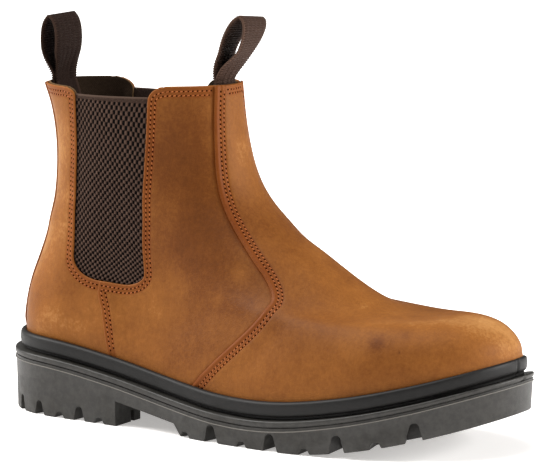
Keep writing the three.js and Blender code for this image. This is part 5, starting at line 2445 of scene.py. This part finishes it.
class Effects:
    """Effects that several materials share, each a node group that gives colours, masks or heights."""

    def __init__(self) -> None:
        """Builds the groups."""
        self.grain = self._grain()
        self.wear = self._wear()
        self.weave = self._weave()
        self.dust = self._dust()

    def _group(
        self, name: str, inputs: Sequence[tuple[str, str, object]], outputs: Sequence[tuple[str, str]],
    ) -> tuple:
        """Starts a group.

        Args:
            name: The group's name.
            inputs: Name, kind and first value of each input.
            outputs: Name and kind of each output.

        Returns:
            The group, its nodes, its input node and its output node.
        """
        tree = bpy.data.node_groups.new(name, "ShaderNodeTree")
        for label, kind, value in inputs:
            socket = tree.interface.new_socket(label, in_out="INPUT", socket_type=f"NodeSocket{kind}")
            if value is not None:
                socket.default_value = value
        for label, kind in outputs:
            tree.interface.new_socket(label, in_out="OUTPUT", socket_type=f"NodeSocket{kind}")
        kit = Nodes(tree)
        return tree, kit, kit.add("NodeGroupInput"), kit.add("NodeGroupOutput")

    def _grain(self) -> bpy.types.NodeTree:
        """Builds leather or moulded grain: small pebbles with finer creases between them.

        Returns:
            The group.
        """
        tree, kit, given, out = self._group(
            "grain", [("Place", "Vector", None), ("Pebble", "Float", 900.0)],
            [("Height", "Float"), ("Pores", "Float")])
        vector = kit.add("ShaderNodeVectorMath", operation="SCALE")
        kit.put(vector.inputs[0], given.outputs["Place"])
        kit.put(vector.inputs["Scale"], given.outputs["Pebble"])
        place = vector.outputs[0]
        warp = kit.noise(place, 0.7, 2.0)
        shifted = kit.add("ShaderNodeVectorMath", operation="ADD")
        kit.put(shifted.inputs[0], place)
        push = kit.add("ShaderNodeVectorMath", operation="SCALE")
        kit.put(push.inputs[0], warp)
        push.inputs["Scale"].default_value = 0.8
        kit.put(shifted.inputs[1], push.outputs[0])
        pebbles = kit.cells(shifted.outputs[0], 1.0)
        rounded = kit.span(pebbles, 0.0, 0.35)
        fine = kit.noise(place, 2.6, 3.0, 0.6)
        height = kit.math("ADD", kit.math("MULTIPLY", rounded, 0.7), kit.math("MULTIPLY", fine, 0.5))
        pores = kit.span(kit.noise(place, 0.9, 3.0, 0.7), 0.6, 0.72)
        kit.put(out.inputs["Height"], kit.math("SUBTRACT", height, kit.math("MULTIPLY", pores, 0.35)))
        kit.put(out.inputs["Pores"], pores)
        return tree

    def _wear(self) -> bpy.types.NodeTree:
        """Builds uneven wax and rub: a slow cloud, a mottle, and small scuffs, over the given tone, which
        on the leather carries painted light and shade.

        Returns:
            The group.
        """
        tree, kit, given, out = self._group(
            "wear", [("Place", "Vector", None), ("Tone", "Float", 0.0)],
            [("Value", "Float"), ("Scuffs", "Float"), ("Streaks", "Float")])
        place = given.outputs["Place"]
        cloud = kit.span(kit.noise(place, 24.0, 3.0, 0.5, 0.6), 0.28, 0.72, -0.5, 0.5)
        mottle = kit.span(kit.noise(place, 90.0, 5.0, 0.62, 0.4), 0.25, 0.75, -0.5, 0.5)
        speck = kit.span(kit.noise(place, 520.0, 4.0, 0.7), 0.3, 0.7, -0.5, 0.5)
        value = kit.math("ADD", kit.math("MULTIPLY", given.outputs["Tone"], 0.42), 0.5)
        for part, share in ((cloud, 0.12), (mottle, 0.08), (speck, 0.09)):
            value = kit.math("ADD", value, kit.math("MULTIPLY", part, share))
        kit.put(out.inputs["Value"], kit.math("ADD", value, 0.0, True))
        stretch = kit.add("ShaderNodeMapping")
        kit.put(stretch.inputs["Vector"], place)
        stretch.inputs["Scale"].default_value = (1.0, 1.0, 0.22)
        stretch.inputs["Rotation"].default_value = (0.3, 0.9, 0.4)
        lines = kit.noise(stretch.outputs[0], 430.0, 3.0, 0.6, 1.2)
        kit.put(out.inputs["Streaks"], kit.span(lines, 0.35, 0.65))
        rough = kit.math("MULTIPLY", kit.span(kit.noise(place, 150.0, 6.0, 0.75, 0.5), 0.6, 0.7),
                         kit.span(kit.noise(place, 34.0, 2.0), 0.5, 0.62))
        kit.put(out.inputs["Scuffs"], rough)
        return tree

    def _weave(self) -> bpy.types.NodeTree:
        """Builds fine yarns: uneven strands with a soft fuzz.

        Returns:
            The group.
        """
        tree, kit, given, out = self._group(
            "weave", [("Place", "Vector", None), ("Yarns", "Float", 900.0)],
            [("Height", "Float"), ("Tint", "Float")])
        vector = kit.add("ShaderNodeVectorMath", operation="SCALE")
        kit.put(vector.inputs[0], given.outputs["Place"])
        kit.put(vector.inputs["Scale"], given.outputs["Yarns"])
        parts = kit.add("ShaderNodeSeparateXYZ")
        kit.put(parts.inputs[0], vector.outputs[0])
        flat = kit.math("ADD", parts.outputs["X"], kit.math("MULTIPLY", parts.outputs["Y"], 0.8))
        warp = kit.math("SINE", kit.math("MULTIPLY", flat, 6.283))
        weft = kit.math("SINE", kit.math("MULTIPLY", parts.outputs["Z"], 6.283))
        yarns = kit.math("MULTIPLY", warp, weft)
        fuzz = kit.noise(vector.outputs[0], 1.3, 4.0, 0.7)
        height = kit.math("ADD", kit.math("MULTIPLY", yarns, 0.35), kit.math("MULTIPLY", fuzz, 0.9))
        kit.put(out.inputs["Height"], height)
        strands = kit.math("ADD", fuzz, kit.math("MULTIPLY", yarns, 0.12))
        kit.put(out.inputs["Tint"], kit.span(strands, 0.3, 0.7))
        return tree

    def _dust(self) -> bpy.types.NodeTree:
        """Builds a thin uneven bloom that lies thicker low down.

        Returns:
            The group.
        """
        tree, kit, given, out = self._group(
            "dust", [("Place", "Vector", None), ("Level", "Float", 0.012)],
            [("Mask", "Float"), ("Height", "Float")])
        place = given.outputs["Place"]
        parts = kit.add("ShaderNodeSeparateXYZ")
        kit.put(parts.inputs[0], place)
        height = kit.math("DIVIDE", parts.outputs["Z"], given.outputs["Level"])
        low = kit.math("SUBTRACT", 1.0, height, True)
        cloud = kit.span(kit.noise(place, 60.0, 5.0, 0.65), 0.35, 0.7)
        fine = kit.noise(place, 1500.0, 2.0, 0.6)
        mask = kit.math("ADD", kit.math("MULTIPLY", low, cloud), kit.math("MULTIPLY", cloud, 0.35), True)
        kit.put(out.inputs["Mask"], mask)
        kit.put(out.inputs["Height"], fine)
        return tree


@dataclass(frozen=True)
class Finish:
    """What all finishes have: a name, and a principled material that they fill."""

    name: str

    def start(self) -> tuple[bpy.types.Material, Nodes, bpy.types.Node]:
        """Starts the material.

        Returns:
            The material, its nodes and its shader.
        """
        material = bpy.data.materials.new(self.name)
        material.use_nodes = True
        shader = material.node_tree.nodes["Principled BSDF"]
        return material, Nodes(material.node_tree), shader


@dataclass(frozen=True)
class Leather(Finish):
    """Waxed leather, lighter where it is worn by rubbing and where highlights are painted, darker with wax
    and where shade is painted, with orange raw edges and pale cut edges that are partly a painted
    highlight.
    """

    dark: tuple
    middle: tuple
    light: tuple
    rub_and_highlight: tuple
    raw: tuple
    cut: tuple

    def build(self, effects: Effects) -> bpy.types.Material:
        """Builds the material.

        Args:
            effects: The shared effects.

        Returns:
            The material.
        """
        material, kit, shader = self.start()
        place = kit.place()
        # The tone mark brings painted light and shade as well as wax and wear: the ramp's light end paints
        # highlights, its dark end shade.
        wear = kit.effect(effects.wear, place=place, tone=kit.mark("tone"))
        grain = kit.effect(effects.grain, place=place, pebble=820.0)
        colour = kit.ramp(wear.outputs["Value"], (
            (0.1, self.dark), (0.36, self.middle), (0.62, self.light), (0.92, self.rub_and_highlight)))
        streak = kit.math("MULTIPLY", wear.outputs["Streaks"], 0.09)
        colour = kit.mix(streak, colour, self.dark)
        colour = kit.mix(kit.math("MULTIPLY", wear.outputs["Scuffs"], 0.5), colour, self.dark)
        colour = kit.mix(kit.math("MULTIPLY", grain.outputs["Pores"], 0.22), colour, self.dark)
        colour = kit.mix(kit.math("MULTIPLY", kit.mark("edge"), 0.6), colour, self.raw)
        # Cut edges' crowns turn pale: partly the cut leather's colour, partly a painted highlight.
        colour = kit.mix(kit.math("MULTIPLY", kit.span(kit.mark("rim"), 0.4, 0.95), 0.6), colour, self.cut)
        kit.put(shader.inputs["Base Color"], colour)
        rough = kit.math("ADD", kit.span(wear.outputs["Value"], 0.1, 0.9, 0.46, 0.62),
                         kit.math("MULTIPLY", wear.outputs["Scuffs"], 0.14))
        kit.put(shader.inputs["Roughness"], rough)
        shader.inputs["Specular IOR Level"].default_value = 0.1
        swell = kit.noise(place, 130.0, 3.0, 0.6, 0.4)
        height = kit.math("ADD", kit.math("MULTIPLY", swell, 2.4), grain.outputs["Height"])
        height = kit.math("ADD", height, kit.math("MULTIPLY", wear.outputs["Streaks"], 0.25))
        kit.put(shader.inputs["Normal"], kit.bump(height, 0.42, 0.00016))
        return material


@dataclass(frozen=True)
class Cloth(Finish):
    """Woven fabric with a lighter edge, partly a painted highlight on the webbing's selvedge, and painted
    shade in its hollows.
    """

    dark: tuple
    light: tuple
    edge: tuple
    hollow: tuple
    yarns: float = 900.0
    rough: float = 0.85
    sheen: float = 0.15

    def build(self, effects: Effects) -> bpy.types.Material:
        """Builds the material.

        Args:
            effects: The shared effects.

        Returns:
            The material.
        """
        material, kit, shader = self.start()
        place = kit.place()
        weave = kit.effect(effects.weave, place=place, yarns=self.yarns)
        wear = kit.effect(effects.wear, place=place, tone=0.0)
        share = kit.math("ADD", kit.math("MULTIPLY", weave.outputs["Tint"], 0.35),
                         kit.math("MULTIPLY", wear.outputs["Value"], 0.2))
        share = kit.math("ADD", share, kit.math("MULTIPLY", kit.mark("tone"), 0.5), True)
        colour = kit.mix(share, self.dark, self.light)
        # The edge colour lightens edges; on the webbing's selvedge it is partly a painted highlight.
        colour = kit.mix(kit.math("MULTIPLY", kit.span(kit.mark("edge"), 0.3, 0.9), 0.8), colour, self.edge)
        # The hollows take a near-black colour: painted shade in the weave's dents.
        colour = kit.mix(kit.span(kit.mark("pit"), 0.25, 0.75), colour, self.hollow)
        kit.put(shader.inputs["Base Color"], colour)
        rough = kit.span(weave.outputs["Tint"], 0.0, 1.0, self.rough + 0.08, self.rough - 0.08)
        kit.put(shader.inputs["Roughness"], rough)
        shader.inputs["Specular IOR Level"].default_value = 0.12
        shader.inputs["Sheen Weight"].default_value = self.sheen
        shader.inputs["Sheen Roughness"].default_value = 0.5
        kit.put(shader.inputs["Normal"], kit.bump(weave.outputs["Height"], 0.55, 0.00018))
        return material


@dataclass(frozen=True)
class Rubber(Finish):
    """Moulded rubber with a fine grain and a thin grey bloom."""

    base: tuple
    bloom: tuple
    rough: float = 0.6
    share: float = 0.4
    flash: float = 0.6
    gleam: float = 0.4

    def build(self, effects: Effects) -> bpy.types.Material:
        """Builds the material.

        Args:
            effects: The shared effects.

        Returns:
            The material.
        """
        material, kit, shader = self.start()
        place = kit.place()
        dust = kit.effect(effects.dust, place=place, level=0.03)
        grain = kit.effect(effects.grain, place=place, pebble=1500.0)
        share = kit.math("MULTIPLY", dust.outputs["Mask"], self.share)
        colour = kit.mix(share, self.base, self.bloom)
        colour = kit.mix(kit.math("MULTIPLY", kit.mark("edge"), self.flash), colour, self.bloom)
        tint = kit.span(kit.noise(place, 300.0, 4.0, 0.65), 0.3, 0.7)
        colour = kit.mix(kit.math("MULTIPLY", tint, 0.1), colour, self.bloom)
        kit.put(shader.inputs["Base Color"], colour)
        rough = kit.span(dust.outputs["Mask"], 0.0, 1.0, self.rough, self.rough + 0.22)
        kit.put(shader.inputs["Roughness"], rough)
        shader.inputs["Specular IOR Level"].default_value = self.gleam
        height = kit.math("ADD", grain.outputs["Height"], kit.math("MULTIPLY", dust.outputs["Height"], 0.6))
        kit.put(shader.inputs["Normal"], kit.bump(height, 0.3, 0.00008))
        return material


@dataclass(frozen=True)
class Thread(Finish):
    """Waxed sewing thread, and the painted shade of a needle hole."""

    base: tuple
    worn: tuple
    rough: float = 0.55
    gleam: float = 0.25

    def build(self, effects: Effects) -> bpy.types.Material:
        """Builds the material.

        Args:
            effects: The shared effects.

        Returns:
            The material.
        """
        material, kit, shader = self.start()
        place = kit.place()
        wear = kit.effect(effects.wear, place=place, tone=0.0)
        colour = kit.mix(kit.span(wear.outputs["Value"], 0.3, 0.75), self.base, self.worn)
        kit.put(shader.inputs["Base Color"], colour)
        rough = kit.span(wear.outputs["Value"], 0.2, 0.8, self.rough, self.rough + 0.15)
        kit.put(shader.inputs["Roughness"], rough)
        shader.inputs["Specular IOR Level"].default_value = self.gleam
        ply = kit.noise(place, 2600.0, 2.0, 0.5)
        kit.put(shader.inputs["Normal"], kit.bump(ply, 0.4, 0.0001))
        return material


# The dark and light ends of the leather's ramp also serve painted shade and painted highlights; the last
# colour, on cut edges' crowns, is partly a painted highlight.
LEATHER = Leather("waxed_leather", srgb(66, 32, 8), srgb(98, 54, 18), srgb(129, 79, 32),
                  srgb(182, 134, 80), srgb(104, 47, 8), srgb(150, 92, 40))
LINING = Cloth("lining_felt", srgb(30, 20, 12), srgb(54, 40, 26),
               srgb(104, 80, 52), srgb(8, 5, 3), 700.0, 0.95, 0.0)
# The elastic's hollow colour, near black, is painted shade in the weave's dents.
ELASTIC = Cloth("elastic_weave", srgb(22, 13, 9), srgb(92, 71, 60),
                srgb(78, 62, 52), srgb(5, 2, 1), 1300.0, 0.9, 0.0)
# The webbings' edge colours lighten the selvedge, partly as a painted highlight.
WEBBING = Cloth("ribbed_webbing", srgb(24, 14, 10), srgb(50, 34, 26),
                srgb(50, 35, 27), srgb(8, 5, 3), 1100.0, 0.9, 0.0)
# A lighter copy of the webbing for the front loop: painted light, as its face is lit.
LIT_WEBBING = Cloth("worn_webbing", srgb(40, 27, 21), srgb(84, 64, 54),
                     srgb(76, 57, 47), srgb(8, 5, 3), 1100.0, 0.9, 0.0)
FOOTBED = Cloth("footbed_fabric", srgb(30, 30, 31), srgb(56, 56, 58),
                srgb(66, 66, 68), srgb(12, 12, 12), 800.0, 0.92, 0.1)
RAND = Rubber("rand_rubber", srgb(15, 14, 13), srgb(46, 44, 42), 0.5, 0.15, 0.0, 0.24)
OUTSOLE = Rubber("outsole_rubber", srgb(22, 20, 16), srgb(104, 100, 94), 0.46, 0.05, 0.85)
THREAD = Thread("waxed_thread", srgb(130, 64, 20), srgb(170, 98, 44))
# Needle holes are dark beads: painted shade.
NEEDLE_HOLE_SHADE = Thread("needle_hole", srgb(26, 6, 1), srgb(44, 14, 4), 0.9, 0.0)


# Studio


@dataclass
class Studio:
    """A pale floor, a white room, soft lights and the photograph's camera."""

    eye: tuple[float, float, float] = (1.1461, -1.9196, 0.4548)
    back: tuple[float, float, float] = (0.5041, -0.8494, 0.1560)
    roll: float = 0.169
    lens: float = 287.84
    glow: float = 0.4
    sky: float = 0.22

    def build(self) -> None:
        """Builds the floor, the world, the lights and the camera."""
        self._floor()
        self._world()
        for name, place, size, power, tint in (
            ("left", (-1.9, -0.55, 1.3), 1.1, 53.0, (1.0, 0.985, 0.96)),
            ("right", (2.0, 0.7, 0.8), 1.1, 64.0, (1.0, 0.99, 0.98)),
        ):
            self._light(name, place, size, power, tint)
        self._sky_light()
        self._camera()

    def _floor(self) -> None:
        """Builds the floor with its plain pale finish."""
        mesh = bpy.data.meshes.new("floor")
        mesh.from_pydata([(-9, -9, 0), (9, -9, 0), (9, 9, 0), (-9, 9, 0)], [], [(0, 1, 2, 3)])
        material = bpy.data.materials.new("floor")
        material.use_nodes = True
        kit = Nodes(material.node_tree)
        shader = material.node_tree.nodes["Principled BSDF"]
        shade = kit.noise(kit.place(), 3.0, 2.0)
        kit.put(shader.inputs["Base Color"], kit.mix(shade, srgb(243, 241, 240), srgb(247, 246, 245)))
        shader.inputs["Roughness"].default_value = 0.8
        shader.inputs["Specular IOR Level"].default_value = 0.1
        shader.inputs["Emission Color"].default_value = srgb(255, 252, 249)
        shader.inputs["Emission Strength"].default_value = self.glow
        mesh.materials.append(material)
        floor = bpy.data.objects.new("floor", mesh)
        bpy.context.scene.collection.objects.link(floor)

    def _world(self) -> None:
        """Builds the white room."""
        world = bpy.data.worlds.new("room")
        world.use_nodes = True
        sky = world.node_tree.nodes["Background"]
        sky.inputs["Color"].default_value = (1.0, 1.0, 1.0, 1.0)
        sky.inputs["Strength"].default_value = self.sky
        bpy.context.scene.world = world
        bpy.context.scene.view_settings.view_transform = "Standard"

    def _light(self, name: str, place: tuple, size: float, power: float, tint: tuple) -> None:
        """Adds a soft light that faces the boot.

        Args:
            name: The name.
            place: Where it stands, in metres.
            size: Its width in metres.
            power: Its power in watts.
            tint: Its colour.
        """
        data = bpy.data.lights.new(name, "AREA")
        data.shape, data.size, data.energy, data.color = "DISK", size, power, tint
        lamp = bpy.data.objects.new(name, data)
        way = Vector((0.0, 0.0, 0.08)) - Vector(place)
        lamp.matrix_world = Matrix.Translation(place) @ way.to_track_quat("-Z", "Y").to_matrix().to_4x4()
        bpy.context.scene.collection.objects.link(lamp)

    def _sky_light(self) -> None:
        """Adds a wide soft light from above."""
        data = bpy.data.lights.new("above", "SUN")
        data.energy, data.angle = 3.2, math.radians(50)
        lamp = bpy.data.objects.new("above", data)
        lamp.matrix_world = Vector((0.3, 0.2, -1.0)).to_track_quat("-Z", "Y").to_matrix().to_4x4()
        bpy.context.scene.collection.objects.link(lamp)

    def _camera(self) -> None:
        """Adds the camera."""
        back = Vector(self.back).normalized()
        right = Vector((0, 0, 1)).cross(back).normalized()
        up = back.cross(right)
        data = bpy.data.cameras.new("camera")
        data.sensor_width, data.lens = 36.0, self.lens
        data.clip_start, data.clip_end = 0.1, 60.0
        camera = bpy.data.objects.new("camera", data)
        turn = Matrix((right, up, back)).transposed() @ Matrix.Rotation(math.radians(self.roll), 3, "Z")
        camera.matrix_world = Matrix.Translation(self.eye) @ turn.to_4x4()
        bpy.context.scene.collection.objects.link(camera)
        bpy.context.scene.camera = camera


# The boot


SHIFT = row_shift()


def main() -> None:
    """Builds the boot piece by piece and then the studio."""
    logging.basicConfig(level=logging.INFO, format="%(name)s %(message)s")
    effects = Effects()
    leather, lining, elastic, webbing, worn, footbed, rand, outsole, thread, hole = (
        finish.build(effects)
        for finish in (
            LEATHER, LINING, ELASTIC, WEBBING, LIT_WEBBING, FOOTBED, RAND, OUTSOLE, THREAD, NEEDLE_HOLE_SHADE)
    )
    rows = Rows()
    Sole(outsole, rand).build()
    Footbed(footbed).build()
    upper = Upper(leather, lining)
    upper.build()
    Stitching(upper, rows, thread, hole).build()
    for side in Side:
        Gusset(side, elastic).build()
    # The front loop takes the lighter copy of the webbing: painted light on its lit face.
    PullLoop("pull_loop_front", 0.0, 15.5, 16.0, worn, rows, loop_width=15.8, roll=-7.0, pinch=0.08).build()
    PullLoop("pull_loop_back", math.pi, 0.0, 0.0, webbing, rows, pinch=0.0).build()
    Studio().build()


if __name__ == "__main__":
    main()
